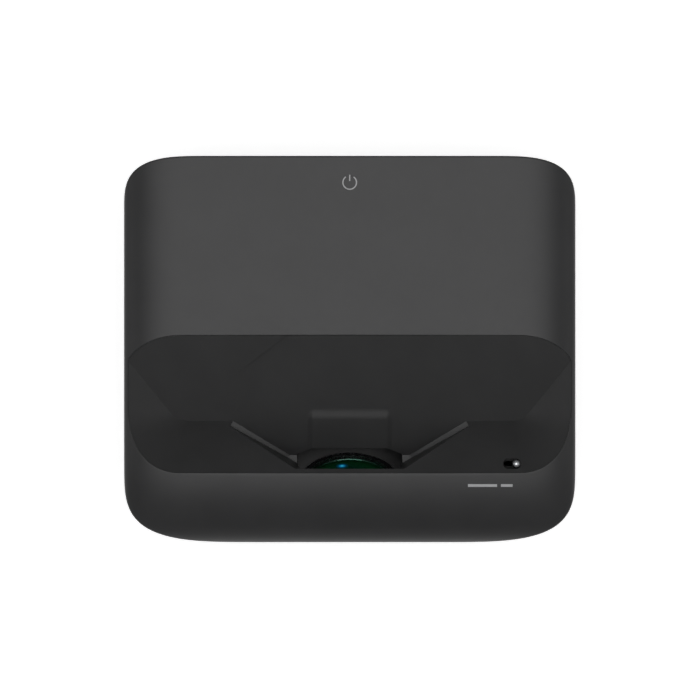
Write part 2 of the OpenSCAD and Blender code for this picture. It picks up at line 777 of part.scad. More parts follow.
// ---- Electronics ----

module main_board() {
    color([0.05, 0.25, 0.12]) {
        translate([-board_half, board_y, board_z]) cube([2 * board_half, board_d, 1.6]);
        for (s = [-1, 1], y = [6, board_d - 6]) translate([s * (board_half - 6), board_y + y, floor_z])
            cylinder(r = 3, h = board_z - floor_z);
    }
}
module board_chips() {
    color(black) translate([0, board_y, board_z + 1.6]) {
        translate([-30, 26, 0]) cube([26, 26, 3]);
        translate([-30, 26, 3 - e]) for (i = [0 : 6]) translate([i * 4, 0, 0]) cube([1.2, 26, 9]);
        for (i = [0 : 3]) translate([6 + i * 14, 30, 0]) cube([11, 9, 1.2]);
        for (i = [0 : 4]) translate([-80 + i * 9, 20, 0]) cylinder(r = 3.5, h = 9);
    }
}
module wireless_module() {
    color([0.6, 0.61, 0.62]) translate([60, board_y + 12, board_z + 1.6]) cube([24, 18, 3]);
}
module power_board() {
    color([0.45, 0.33, 0.15]) translate([power_x, power_y, board_z]) cube([power_w, power_l, 1.6]);
    color(metal) for (x = [6, power_w - 6], y = [6, power_l - 6])
        translate([power_x + x, power_y + y, floor_z]) cylinder(r = 3, h = board_z - floor_z);
}
module power_components() {
    color([0.2, 0.2, 0.25]) translate([power_x, power_y, board_z + 1.6]) {
        for (i = [0, 1]) translate([18 + i * 26, 20, 0]) cylinder(r = 11, h = 34);
        translate([8, 44, 0]) cube([32, 28, 26]);
        translate([power_w - 34, 44, 0]) cube([24, 26, 22]);
        for (i = [0 : 5]) translate([power_w - 24, 10 + i * 4, 0]) cube([16, 1.4, 30]);
    }
}

// Socket shell: a block whose rear mouth is a w by h opening, depth deep
module socket(x, w, h, rim_t, length, depth) {
    translate([x - w / 2, half_d - 0.6 - length, port_z - h / 2]) difference() {
        cube([w, length, h]);
        translate([rim_t, length - depth, rim_t]) cube([w - 2 * rim_t, depth + 1, h - 2 * rim_t]);
    }
    translate([x - w / 4, half_d - 0.6 - length + 1, board_z + 1.6]) cube([w / 2, length - 8, 3]);
}
module video_ports() {
    color(metal) for (x = video_x) socket(x, video_w, video_h, 0.7, 16, 12);
}
module data_ports() {
    color(metal) for (x = data_x) socket(x, data_w, data_h, 0.8, 18, 14);
}
module audio_ports() {
    color(black) {
        difference() {
            union() {
                translate([jack_x, half_d - 0.4, port_z]) rotate([90, 0, 0]) cylinder(r = 3.2, h = 16);
                translate([jack_x - 5, half_d - 16.5, board_z + 1.6]) cube([10, 12, 9]);
            }
            translate([jack_x, half_d, port_z]) rotate([90, 0, 0]) cylinder(r = jack_r, h = jack_l + 0.4);
        }
        translate([optical_x - 5, half_d - 14.6, port_z - 5]) difference() {
            cube([10, 14, 10]);
            translate([2, 7, 2]) cube([6, 9, 6]);
        }
    }
}
module ac_inlet() {
    color(black) {
        difference() {
            translate([inlet_x - inlet_w / 2, half_d - 28, port_z - inlet_h / 2])
                cube([inlet_w, 27.4, inlet_h]);
            translate([inlet_x - inlet_w / 2 + 2.2, half_d - 18, port_z - inlet_h / 2 + 2.2])
                cube([inlet_w - 4.4, 22, inlet_h - 4.4]);
        }
    }
    color(metal) for (s = [-1, 1]) translate([inlet_x + s * 4.3, half_d - 2.5, port_z]) rotate([90, 0, 0])
        cylinder(r = 1.1, h = 16);
}

module button_hole(gap) {
    translate([half_w - 12, button_y, button_z]) rotate([0, 90, 0]) cylinder(r = button_r + gap, h = 24);
}
module power_button() {
    color([0.3, 0.3, 0.31]) {
        intersection() {
            button_hole(0);
            translate([0, 0, -e]) linear_extrude(seam_z) polygon(outline(0.2));
        }
        translate([half_w - 13, button_y, button_z]) rotate([0, 90, 0]) cylinder(r = button_r + 2, h = 1.5);
    }
}
module status_light() {
    color([0.5, 0.7, 0.9]) translate([half_w - wall - 6, button_y - 14, button_z]) rotate([0, 90, 0])
        cylinder(r = 1.2, h = 6);
}

// ---- Sound ----

// Loudspeaker of radius r, facing +Z, front at 0
module basket(r, depth) {
    tube(r, r - 3, -3, 0);
    difference() {
        translate([0, 0, -depth * 0.6]) cylinder(r1 = r * 0.55, r2 = r - 0.5, h = depth * 0.6 - 3 + e);
        translate([0, 0, -depth * 0.6 - e])
            cylinder(r1 = r * 0.55 - 2, r2 = r - 2.5, h = depth * 0.6 - 3 + 3 * e);
        for (a = [0, 60, 120]) rotate([0, 0, a]) translate([-r, -r * 0.14, -depth * 0.55])
            cube([2 * r, r * 0.28, depth * 0.6 - 4.5]);
    }
    tube(r * 0.55, r * 0.3, -depth * 0.6 - 2, -depth * 0.6 + e);
    translate([0, 0, -depth]) cylinder(r = r * 0.5, h = depth * 0.4 - 2 + e);
}
module cone(r, depth) {
    low = -depth * 0.6 + 3.2 + cone_stroke;
    difference() {
        translate([0, 0, low]) cylinder(r1 = r * 0.3, r2 = r - 4.7, h = -3 - low);
        translate([0, 0, low + 0.8]) cylinder(r1 = r * 0.3, r2 = r - 4.7, h = -3 - low);
    }
    translate([0, 0, low + 0.5 - cone_stroke]) cylinder(r = r * 0.25, h = 3 + cone_stroke);
}
module at_speaker(s) { translate([s * speaker_x, speaker_y, speaker_z]) rotate([90, 0, 0]) children(); }
module left_speaker_basket() { color([0.3, 0.3, 0.32]) at_speaker(-1) basket(speaker_r, speaker_depth); }
module left_speaker_cone() { color(black) at_speaker(-1) cone(speaker_r, speaker_depth); }
module right_speaker_basket() { color([0.3, 0.3, 0.32]) at_speaker(1) basket(speaker_r, speaker_depth); }
module right_speaker_cone() { color(black) at_speaker(1) cone(speaker_r, speaker_depth); }
module at_woofer() { translate([woofer_x, woofer_y, floor_z]) rotate([180, 0, 0]) children(); }
module woofer_basket() { color([0.3, 0.3, 0.32]) at_woofer() basket(woofer_r, woofer_depth); }
module woofer_cone() { color(black) at_woofer() cone(woofer_r, woofer_depth); }

// ---- Feet and screws ----

module foot_pad() {
    color([0.06, 0.06, 0.06]) {
        cylinder(d = foot_d, h = 2.5);
        translate([0, 0, 2.4]) cylinder(r = swivel_r, h = 6);
    }
}
module foot_dial() {
    color([0.15, 0.15, 0.155]) difference() {
        union() {
            translate([0, 0, 2.6]) cylinder(d = foot_d - 1, h = floor_gap - 2.6 - 0.2);
            translate([0, 0, 2.6]) cylinder(r = stem_r, h = boss_h + floor_gap - 4);
        }
        translate([0, 0, 1]) cylinder(r = swivel_r + run_fit, h = 8);
        for (a = [0 : 15 : 345]) rotate([0, 0, a]) translate([foot_d / 2 + 0.2, 0, 0])
            cylinder(r = 1.2, h = 20);
    }
}
module at_foot(s) { translate([s * feet_w / 2, -foot_y, 0]) children(); }
module left_foot_pad() { at_foot(-1) foot_pad(); }
module left_foot_dial() { at_foot(-1) foot_dial(); }
module right_foot_pad() { at_foot(1) foot_pad(); }
module right_foot_dial() { at_foot(1) foot_dial(); }
module rear_feet() {
    color([0.06, 0.06, 0.06]) for (s = [-1, 1]) translate([s * feet_w / 2, foot_y, 0])
        cylinder(d = foot_d, h = floor_gap);
}
module case_screws() {
    color(metal) at_screws() difference() {
        union() {
            cylinder(r = screw_r, h = boss_h - 2);
            translate([0, 0, 0.2]) cylinder(r = screw_head_r, h = screw_head_h - 0.2);
        }
        translate([-2, -0.5, -1]) cube([4, 1, 2.2]);
        translate([-0.5, -2, -1]) cube([1, 4, 2.2]);
    }
}

top_cover();
recess_tray();
base_case();
rear_panel();
left_vent();
right_vent();
grille_frame();
grille_cloth();
filter_cover();
air_filter();
lens_well();
lens_ring();
front_lens();
lens_head();
focus_ring();
focus_slider();
focus_knob();
mirror_housing();
fold_mirror();
relay_barrel();
engine_case();
combining_prism();
lcd_panels();
dichroic_mirrors();
laser_module();
phosphor_wheel();
wheel_motor();
laser_heatsink();
heat_pipes();
exhaust_fan_frame();
exhaust_fan_rotor();
intake_fan_frame();
intake_fan_rotor();
blower_housing();
blower_rotor();
main_board();
board_chips();
wireless_module();
power_board();
power_components();
video_ports();
data_ports();
audio_ports();
ac_inlet();
power_button();
status_light();
remote_window();
left_speaker_basket();
left_speaker_cone();
right_speaker_basket();
right_speaker_cone();
woofer_basket();
woofer_cone();
left_foot_pad();
left_foot_dial();
right_foot_pad();
right_foot_dial();
rear_feet();
case_screws();
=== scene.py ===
"""Looks of an ultra-short-throw home projector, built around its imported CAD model.

Lengths are in millimetres unless a name says otherwise; MM turns them into Blender's metres.
X runs to the right for a viewer in the room, Y towards the wall, Z up.
"""
import json
import math

import bmesh
import bpy
from mathutils import Matrix, Vector


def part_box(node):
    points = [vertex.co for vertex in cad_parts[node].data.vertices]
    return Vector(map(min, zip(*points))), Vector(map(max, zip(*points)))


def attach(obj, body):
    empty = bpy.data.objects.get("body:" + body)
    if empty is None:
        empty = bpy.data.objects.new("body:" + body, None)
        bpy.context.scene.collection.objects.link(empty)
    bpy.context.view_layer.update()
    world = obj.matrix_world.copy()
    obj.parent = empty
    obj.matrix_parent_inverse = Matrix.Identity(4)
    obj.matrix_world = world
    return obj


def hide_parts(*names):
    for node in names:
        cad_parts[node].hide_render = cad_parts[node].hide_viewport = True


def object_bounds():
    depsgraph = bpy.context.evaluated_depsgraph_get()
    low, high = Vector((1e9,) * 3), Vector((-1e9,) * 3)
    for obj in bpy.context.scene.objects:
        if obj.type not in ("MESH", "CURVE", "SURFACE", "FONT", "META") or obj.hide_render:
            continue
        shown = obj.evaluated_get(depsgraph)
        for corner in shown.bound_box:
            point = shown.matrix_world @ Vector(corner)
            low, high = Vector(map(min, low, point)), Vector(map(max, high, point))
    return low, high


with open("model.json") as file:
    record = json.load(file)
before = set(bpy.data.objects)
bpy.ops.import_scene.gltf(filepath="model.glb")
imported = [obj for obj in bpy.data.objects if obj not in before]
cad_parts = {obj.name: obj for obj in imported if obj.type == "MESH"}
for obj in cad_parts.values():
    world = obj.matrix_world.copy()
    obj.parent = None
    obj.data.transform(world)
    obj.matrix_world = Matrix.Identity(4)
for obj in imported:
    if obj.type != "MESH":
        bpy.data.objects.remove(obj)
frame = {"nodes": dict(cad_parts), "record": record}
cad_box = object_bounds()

MM = 0.001
NODES = frame["nodes"]

# ---- Sizes, from the frame and the design's own proportions ----

LOW, HIGH = [Vector(corner) / MM for corner in cad_box]
HALF_W = (HIGH.x - LOW.x) / 2
HALF_D = (HIGH.y - LOW.y) / 2
BODY_H = HIGH.z
FRONT_Y = -HALF_D
SEAM_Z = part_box("top_cover")[0].z / MM
BASE_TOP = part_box("base_case")[1].z / MM
WALL = 2.5

REAR_CORNER = (86, 55, 3.2)
FRONT_CORNER = (149, 82, 3.7)
SHOULDER_W, SHOULDER_DROP = 59, 21
NOSE_D, NOSE_DROP = 110, 50
RIM_EDGE_R = 1.0
TOP_EDGE_R = 1.6

RECESS_REAR = FRONT_Y + 215
CREASE_Y = FRONT_Y + 126
LIP_Y = FRONT_Y + 73
REAR_SLOPE = 0.5
SIDE_RIM = 4.5
SIDE_SLOPE = 0.63
CREASE_R = 10
TRENCH_HALF = 121
TRENCH_ANGLE = math.radians(30.5)
LEDGE_W = 5.7
LEDGE_SLOPE = 0.26
TRENCH_WALL_SLOPE = 11
STRIP_D = 4.2
PAD_HALF, PAD_L, PAD_STEP, PAD_RISE = 41, 39.3, 9.4, 1.9
TRAY_WALL = 2.2

RING_R = 51
GLASS_R = 44
LENS_TILT = math.radians(31)
LENS = Vector((0, FRONT_Y + 66, 68))
# Centre and radius of a small bluish highlight painted onto the front glass as emission
LENS_HIGHLIGHT_SPOT, HIGHLIGHT_SPOT_R = LENS + Vector((-8, 12.8, -14.6)), 7
WELL_HALF = RING_R + 3.8
WELL_REAR_Y = LIP_Y + 24.4
WELL_BEND_Y = LIP_Y + 18.2
WELL_REAR_HALF = 40
RECESS_CENTRE = Vector((0, FRONT_Y + 145))
# Flat pieces that stand in for each rounded corner of the recess
FAN_STEPS = 36
# Edges that bend less than this many degrees are merged away
FLAT_ANGLE = 0.3

GLASS_BULGE = 7.0
FOCUS_TRAVEL = 9
SEAM_EDGE = 0.4

# Sockets: places along X, height of their middle, widths and heights
PORT_Z = 30
VIDEO_X, VIDEO_W, VIDEO_H, VIDEO_DEEP = (-100, -76, -52), 15.5, 6.2, 12
DATA_X, DATA_W, DATA_H, DATA_DEEP = (-24, -4), 14, 7.4, 14
JACK_X, OPTICAL_X = 22, 42
MESH_LOW, MESH_HIGH, MESH_PITCH, WIRE = 18.5, 67.5, 1.8, 0.22

# Printed marks
INK_PROUD, INK_DEEP = 0.03, 0.15
ARC_STEPS, BAR_STEPS = 40, 16
RING_MARK_Y = HALF_D - 27.5
BAR_MARK_Y = FRONT_Y + 58.6, FRONT_Y + 61.4

THREAD_PITCH = 0.9
FOLD_PITCH = 4.0

# Stage, lights and camera, in metres and watts
FLOOR_REACH = 9.0
WALL_REACH, WALL_RISE, COVE_R = 8.5, 8.0, 1.5
FLOOR_GLOW = 0.7
OVERHEAD_SIZE, OVERHEAD_HEIGHT, OVERHEAD_POWER = (2.6, 2.3), 2.6, 33
SIDE_SIZE, SIDE_REACH, SIDE_HEIGHT, SIDE_POWER = (1.2, 1.0), 2.3, 1.1, 2.2
# Share of the way from straight down to straight up, and the grey there
WORLD_GREYS = ((0.0, 0.7), (0.42, 0.55), (0.5, 0.2), (0.6, 0.18), (1.0, 0.25))
# Focal length and sensor in mm; the frame's width at the height of the body's upper edge
CAMERA_LENS, SENSOR = 300, 36
FRAME_WIDTH = 724 * MM
FRAME_HEIGHT = 112 * MM


def arc_drop(u, span, drop):
    """How far an elliptic arc of that span and drop has fallen at u from its low end."""
    if u >= span:
        return 0.0
    return drop * (1 - math.sqrt(max(0.0, 1 - ((span - max(u, 0.0)) / span) ** 2)))


def top_z(x, y):
    """Height of the body's top surface."""
    return (BODY_H - arc_drop(HALF_W - abs(x), SHOULDER_W, SHOULDER_DROP)
            - arc_drop(y + HALF_D, NOSE_D, NOSE_DROP))


def rear_plane(y):
    """Height of the recess's rear slope."""
    return BODY_H - REAR_SLOPE * (RECESS_REAR - y)


CREASE_Z = rear_plane(CREASE_Y)
FRONT_SLOPE = (top_z(0, LIP_Y) - CREASE_Z) / (CREASE_Y - LIP_Y)
SIDE_RIM_Z = top_z(HALF_W - SIDE_RIM, RECESS_CENTRE.y)
CREASE_HALF = HALF_W - SIDE_RIM - (SIDE_RIM_Z - CREASE_Z) / SIDE_SLOPE
LANDING_Z = rear_plane(WELL_BEND_Y - 0.8)


def recess_planes():
    """The recess's slopes, each as (point, height over length, direction of climb in radians)."""
    planes = [((0, CREASE_Y, CREASE_Z), REAR_SLOPE, math.pi / 2),
              ((0, CREASE_Y, CREASE_Z), FRONT_SLOPE, -math.pi / 2)]
    for side in (-1, 1):
        for i in range(FAN_STEPS):
            share = i / FAN_STEPS
            turn = share * math.pi / 2
            point = (side * (CREASE_HALF - CREASE_R + CREASE_R * math.cos(turn)),
                     CREASE_Y + CREASE_R - CREASE_R * math.sin(turn), CREASE_Z)
            slope = SIDE_SLOPE + (FRONT_SLOPE - SIDE_SLOPE) * share
            planes.append((point, slope, -turn if side > 0 else math.pi + turn))
    return planes


RECESS_PLANES = recess_planes()


def plane_z(plane, x, y):
    """Height of a sloping plane over a plan point."""
    (px, py, pz), slope, turn = plane
    return pz + slope * ((x - px) * math.cos(turn) + (y - py) * math.sin(turn))


def recess_z(x, y):
    """Height of the recess's surface over a plan point."""
    return max(plane_z(plane, x, y) for plane in RECESS_PLANES)


# ---- Outline of the body ----

def super_arc(cx, cy, rx, ry, power, start, steps):
    """Quarter of a superellipse, from start radians on."""
    points = []
    for i in range(steps + 1):
        a = start + math.pi / 2 * i / steps
        c, s = math.cos(a), math.sin(a)
        points.append(Vector((cx + rx * math.copysign(abs(c) ** (2 / power), c),
                              cy + ry * math.copysign(abs(s) ** (2 / power), s))))
    return points


def outline(inset, steps=40, run=10):
    """Corner points of the body's outline moved in by inset, anticlockwise from the right side."""
    corners = []
    for start, sx, sy in ((0, 1, 1), (1, -1, 1), (2, -1, -1), (3, 1, -1)):
        rx, ry, power = REAR_CORNER if sy > 0 else FRONT_CORNER
        corners.append(super_arc(sx * (HALF_W - rx), sy * (HALF_D - ry), rx - inset, ry - inset, power,
                                 start * math.pi / 2, steps))
    points = []
    for i, arc in enumerate(corners):
        points += arc
        a, b = arc[-1], corners[(i + 1) % 4][0]
        points += [a + (b - a) * k / (run + 1) for k in range(1, run + 1)]
    return points


# ---- Mesh helpers ----

def finish_mesh(bm, name, smooth_angle=30):
    """Makes an object of a bmesh, smooth but for edges sharper than smooth_angle degrees."""
    bmesh.ops.recalc_face_normals(bm, faces=bm.faces)
    mesh = bpy.data.meshes.new(name)
    bm.to_mesh(mesh)
    bm.free()
    for polygon in mesh.polygons:
        polygon.use_smooth = True
    mesh.set_sharp_from_angle(angle=math.radians(smooth_angle))
    obj = bpy.data.objects.new(name, mesh)
    bpy.context.scene.collection.objects.link(obj)
    return obj


def loft(rings, name, loop=False, smooth_angle=30):
    """Quads between closed rings of equal length; loop joins the last ring to the first."""
    bm = bmesh.new()
    rows = [[bm.verts.new(Vector(p) * MM) for p in ring] for ring in rings]
    count = len(rows[0])
    pairs = list(zip(rows, rows[1:])) + ([(rows[-1], rows[0])] if loop else [])
    for a, b in pairs:
        for i in range(count):
            j = (i + 1) % count
            bm.faces.new((a[i], a[j], b[j], b[i]))
    if not loop:
        bm.faces.new(rows[0])
        bm.faces.new(rows[-1])
    return finish_mesh(bm, name, smooth_angle)


def lathe(profile, name, matrix, steps=96, smooth_angle=30):
    """Turned body: profile is a closed loop of (radius, height) in mm, round matrix's Z axis."""
    bm = bmesh.new()
    rows = []
    for i in range(steps):
        a = 2 * math.pi * i / steps
        rows.append([bm.verts.new(matrix @ (Vector((r * math.cos(a), r * math.sin(a), z)) * MM))
                     for r, z in profile])
    for i in range(steps):
        a, b = rows[i], rows[(i + 1) % steps]
        for k in range(len(profile)):
            n = (k + 1) % len(profile)
            if profile[k][0] < 1e-6 and profile[n][0] < 1e-6:
                continue
            bm.faces.new((a[k], b[k], b[n], a[n]))
    bmesh.ops.remove_doubles(bm, verts=bm.verts, dist=1e-7)
    bmesh.ops.dissolve_degenerate(bm, dist=1e-8, edges=bm.edges)
    return finish_mesh(bm, name, smooth_angle)


def rounded_slab(points, low, high, name, edge=0.4, matrix=Matrix.Identity(4)):
    """Prism over a plan outline in mm with bevelled edges."""
    bm = bmesh.new()
    bottom = [bm.verts.new(matrix @ (Vector((x, y, low)) * MM)) for x, y in points]
    top = [bm.verts.new(matrix @ (Vector((x, y, high)) * MM)) for x, y in points]
    bm.faces.new(bottom)
    bm.faces.new(top)
    for i in range(len(points)):
        j = (i + 1) % len(points)
        bm.faces.new((bottom[i], bottom[j], top[j], top[i]))
    if edge:
        bmesh.ops.recalc_face_normals(bm, faces=bm.faces)
        sharp = [e for e in bm.edges if e.calc_face_angle(0) > 0.6]
        bmesh.ops.bevel(bm, geom=sharp, offset=edge * MM, segments=2, affect="EDGES", profile=0.5,
                        clamp_overlap=True)
    return finish_mesh(bm, name, 40)


def grid_slab(top, low, name, smooth_angle):
    """Closed slab between two grids of points that have the same rows and columns."""
    bm = bmesh.new()
    grids = [[[bm.verts.new(Vector(p) * MM) for p in row] for row in rows] for rows in (top, low)]
    ny, nx = len(top) - 1, len(top[0]) - 1
    for grid in grids:
        for j in range(ny):
            for i in range(nx):
                bm.faces.new((grid[j][i], grid[j][i + 1], grid[j + 1][i + 1], grid[j + 1][i]))
    border = ([(0, i) for i in range(nx)] + [(j, nx) for j in range(ny)]
              + [(ny, i) for i in range(nx, 0, -1)] + [(j, 0) for j in range(ny, 0, -1)])
    above, below = grids
    for k, (j, i) in enumerate(border):
        m, n = border[(k + 1) % len(border)]
        bm.faces.new((above[j][i], above[m][n], below[m][n], below[j][i]))
    return finish_mesh(bm, name, smooth_angle)


def rect(x0, y0, x1, y1):
    """Corners of a plan rectangle, anticlockwise."""
    return [(x0, y0), (x1, y0), (x1, y1), (x0, y1)]


def convex(name, box_low, box_high, cuts):
    """A box cut by planes; each cut keeps the side that its normal points to."""
    bm = bmesh.new()
    bmesh.ops.create_cube(bm, size=1)
    for v in bm.verts:
        v.co = Vector([lo + (c + 0.5) * (hi - lo) for c, lo, hi in zip(v.co, box_low, box_high)])
    for point, normal in cuts:
        geom = bm.verts[:] + bm.edges[:] + bm.faces[:]
        cut = bmesh.ops.bisect_plane(bm, geom=geom, plane_co=point, plane_no=normal, clear_inner=True)
        edges = [g for g in cut["geom_cut"] if isinstance(g, bmesh.types.BMEdge)]
        if edges:
            bmesh.ops.contextual_create(bm, geom=edges)
    for v in bm.verts:
        v.co *= MM
    bmesh.ops.remove_doubles(bm, verts=bm.verts, dist=1e-7)
    return finish_mesh(bm, name)


def boolean(obj, other, operation):
    """Joins, cuts or intersects obj with other, which is used up."""
    modifier = obj.modifiers.new("cut", "BOOLEAN")
    modifier.operation = operation
    modifier.solver = "MANIFOLD"
    modifier.object = other
    apply_modifiers(obj)
    bpy.data.objects.remove(other)


def apply_modifiers(obj):
    """Turns an object's modifiers into its mesh."""
    depsgraph = bpy.context.evaluated_depsgraph_get()
    mesh = bpy.data.meshes.new_from_object(obj.evaluated_get(depsgraph))
    obj.modifiers.clear()
    old = obj.data
    obj.data = mesh
    bpy.data.meshes.remove(old)


def merge_flat_faces(obj):
    """Joins the triangles that booleans leave within one plane."""
    bm = bmesh.new()
    bm.from_mesh(obj.data)
    bmesh.ops.remove_doubles(bm, verts=bm.verts, dist=0.002 * MM)
    bmesh.ops.dissolve_limit(bm, angle_limit=math.radians(FLAT_ANGLE), use_dissolve_boundaries=False,
                             verts=bm.verts, edges=bm.edges, delimit=set())
    bm.to_mesh(obj.data)
    bm.free()


# ---- Materials ----

def new_material(name):
    """Empty material with one Principled shader, and the object coordinates."""
    material = bpy.data.materials.new(name)
    material.use_nodes = True
    tree = material.node_tree
    tree.nodes.clear()
    output = tree.nodes.new("ShaderNodeOutputMaterial")
    shader = tree.nodes.new("ShaderNodeBsdfPrincipled")
    tree.links.new(shader.outputs[0], output.inputs[0])
    place = tree.nodes.new("ShaderNodeTexCoord").outputs["Object"]
    return material, tree, shader, place


def noise(tree, place, size, detail=2.0):
    """Noise whose lumps are about size mm across."""
    node = tree.nodes.new("ShaderNodeTexNoise")
    node.inputs["Scale"].default_value = 1 / (size * MM)
    node.inputs["Detail"].default_value = detail
    tree.links.new(place, node.inputs["Vector"])
    return node.outputs["Fac"]


def ramp(tree, value, stops):
    """Colour from a value, by (position, colour) stops."""
    node = tree.nodes.new("ShaderNodeValToRGB")
    node.color_ramp.elements[0].position = stops[0][0]
    node.color_ramp.elements[1].position = stops[-1][0]
    for at, _ in stops[1:-1]:
        node.color_ramp.elements.new(at)
    for element, (_, colour) in zip(node.color_ramp.elements, stops):
        element.color = (*colour, 1)
    tree.links.new(value, node.inputs[0])
    return node.outputs[0]


def shades(colour, spread):
    """A darker and a lighter colour around one."""
    return [tuple(c * (1 - spread) for c in colour), tuple(min(1, c * (1 + spread)) for c in colour)]


def map_range(tree, value, low, high):
    """Spreads a value of 0 to 1 over low to high."""
    node = tree.nodes.new("ShaderNodeMapRange")
    node.inputs["To Min"].default_value = low
    node.inputs["To Max"].default_value = high
    tree.links.new(value, node.inputs["Value"])
    return node.outputs[0]


def maths(tree, operation, a, b=None):
    """Math node on numbers or sockets."""
    node = tree.nodes.new("ShaderNodeMath")
    node.operation = operation
    for i, value in enumerate((a, b)):
        if isinstance(value, (int, float)):
            node.inputs[i].default_value = value
        elif value is not None:
            tree.links.new(value, node.inputs[i])
    return node.outputs[0]


def bump(tree, shader, height, depth):
    """Bumps of about depth mm from a height of 0 to 1."""
    node = tree.nodes.new("ShaderNodeBump")
    node.inputs["Distance"].default_value = depth * MM
    node.inputs["Strength"].default_value = 1.0
    tree.links.new(height, node.inputs["Height"])
    tree.links.new(node.outputs[0], shader.inputs["Normal"])


def moulded(name, colour, rough=0.4, grain=0.35, depth=0.02, specular=0.5):
    """Moulded plastic with a fine spark-eroded grain and a little uneven gloss."""
    material, tree, shader, place = new_material(name)
    low, high = shades(colour, 0.06)
    cloudy = noise(tree, place, 40, 3)
    tree.links.new(ramp(tree, cloudy, [(0.35, low), (0.65, high)]), shader.inputs["Base Color"])
    fine = noise(tree, place, grain, 4)
    tree.links.new(map_range(tree, noise(tree, place, 6, 3), rough - 0.03, rough + 0.03),
                   shader.inputs["Roughness"])
    shader.inputs["Specular IOR Level"].default_value = specular
    bump(tree, shader, fine, depth)
    return material


def metal(name, colour, rough=0.25, stretch=(1, 1, 30), spread=0.08):
    """Metal with fine brushing drawn out along one axis."""
    material, tree, shader, place = new_material(name)
    mapping = tree.nodes.new("ShaderNodeMapping")
    mapping.inputs["Scale"].default_value = stretch
    tree.links.new(place, mapping.inputs["Vector"])
    lines = noise(tree, mapping.outputs[0], 1.2, 4)
    low, high = shades(colour, spread)
    tree.links.new(ramp(tree, lines, [(0.3, low), (0.7, high)]), shader.inputs["Base Color"])
    tree.links.new(map_range(tree, lines, rough - 0.06, rough + 0.08), shader.inputs["Roughness"])
    shader.inputs["Metallic"].default_value = 1
    bump(tree, shader, lines, 0.01)
    return material


def woven(name, colour):
    """Acoustic cloth: crossing threads, a little sheen, mottled dye."""
    material, tree, shader, place = new_material(name)
    split = tree.nodes.new("ShaderNodeSeparateXYZ")
    tree.links.new(place, split.inputs[0])
    turn = 2 * math.pi / (THREAD_PITCH * MM)
    across = maths(tree, "SINE", maths(tree, "MULTIPLY", split.outputs["X"], turn))
    up = maths(tree, "SINE", maths(tree, "MULTIPLY", split.outputs["Z"], turn))
    weave = maths(tree, "ABSOLUTE", maths(tree, "MULTIPLY", across, up))
    holes = maths(tree, "POWER", weave, 0.5)
    low, high = shades(colour, 0.5)
    fuzz = noise(tree, place, 2.2, 4)
    mix = maths(tree, "ADD", maths(tree, "MULTIPLY", holes, 0.7), maths(tree, "MULTIPLY", fuzz, 0.3))
    tree.links.new(ramp(tree, mix, [(0.1, low), (0.8, high)]), shader.inputs["Base Color"])
    shader.inputs["Roughness"].default_value = 0.9
    shader.inputs["Sheen Weight"].default_value = 0.25
    shader.inputs["Sheen Roughness"].default_value = 0.5
    bump(tree, shader, mix, 0.35)
    return material


def pleated(name, colour):
    """Pleated filter paper with its folds across Y, with painted shade: darker in the fold valleys, lighter
    on the ridges.
    """
    material, tree, shader, place = new_material(name)
    split = tree.nodes.new("ShaderNodeSeparateXYZ")
    tree.links.new(place, split.inputs[0])
    fold = maths(tree, "PINGPONG", split.outputs["Y"], FOLD_PITCH * MM / 2)
    height = maths(tree, "MULTIPLY", fold, 2 / (FOLD_PITCH * MM))
    low, high = shades(colour, 0.4)
    # Painted shade: the colour follows the fold height, dark in the valleys and light on the ridges
    tree.links.new(ramp(tree, height, [(0.0, low), (1.0, high)]), shader.inputs["Base Color"])
    shader.inputs["Roughness"].default_value = 0.95
    bump(tree, shader, height, 1.5)
    return material


def coated_glass(name):
    """Front glass: near black with a green coating that turns blue towards the middle, and a small bright
    blue highlight painted on as emission.
    """
    material, tree, shader, place = new_material(name)
    offset = tree.nodes.new("ShaderNodeVectorMath")
    offset.operation = "DISTANCE"
    offset.inputs[1].default_value = LENS * MM
    tree.links.new(place, offset.inputs[0])
    share = maths(tree, "DIVIDE", offset.outputs["Value"], GLASS_R * MM)
    smear = maths(tree, "MULTIPLY", noise(tree, place, 25, 2), 0.12)
    colour = ramp(tree, maths(tree, "ADD", share, smear), [
        (0.0, (0.006, 0.024, 0.050)), (0.35, (0.010, 0.045, 0.040)), (0.7, (0.022, 0.090, 0.040)),
        (1.0, (0.004, 0.020, 0.010))])
    tree.links.new(colour, shader.inputs["Base Color"])
    # Painted highlight: a bright blue spot that glows from a fixed place on the glass and stands in for a
    # reflection
    highlight_place = tree.nodes.new("ShaderNodeVectorMath")
    highlight_place.operation = "DISTANCE"
    highlight_place.inputs[1].default_value = LENS_HIGHLIGHT_SPOT * MM
    tree.links.new(place, highlight_place.inputs[0])
    near = maths(tree, "DIVIDE", highlight_place.outputs["Value"], HIGHLIGHT_SPOT_R * MM)
    tree.links.new(ramp(tree, near, [(0.0, (0.25, 0.75, 1.0)), (0.25, (0.03, 0.22, 0.75)),
                                     (0.6, (0.0, 0.03, 0.10)), (1.0, (0.0, 0.0, 0.0))]),
                   shader.inputs["Emission Color"])
    shader.inputs["Emission Strength"].default_value = 0.7
    shader.inputs["Roughness"].default_value = 0.04
    shader.inputs["IOR"].default_value = 1.6
    shader.inputs["Coat Weight"].default_value = 1.0
    shader.inputs["Coat Roughness"].default_value = 0.02
    shader.inputs["Coat Tint"].default_value = (0.35, 1.0, 0.75, 1)
    shader.inputs["Specular Tint"].default_value = (0.3, 0.9, 0.8, 1)
    return material


def glowing(name, colour, strength):
    """Translucent plastic lit from behind."""
    material, tree, shader, place = new_material(name)
    cloudy = ramp(tree, noise(tree, place, 1.5, 2), [(0.2, shades(colour, 0.15)[0]), (0.8, colour)])
    tree.links.new(cloudy, shader.inputs["Base Color"])
    tree.links.new(cloudy, shader.inputs["Emission Color"])
    shader.inputs["Emission Strength"].default_value = strength
    shader.inputs["Roughness"].default_value = 0.3
    return material


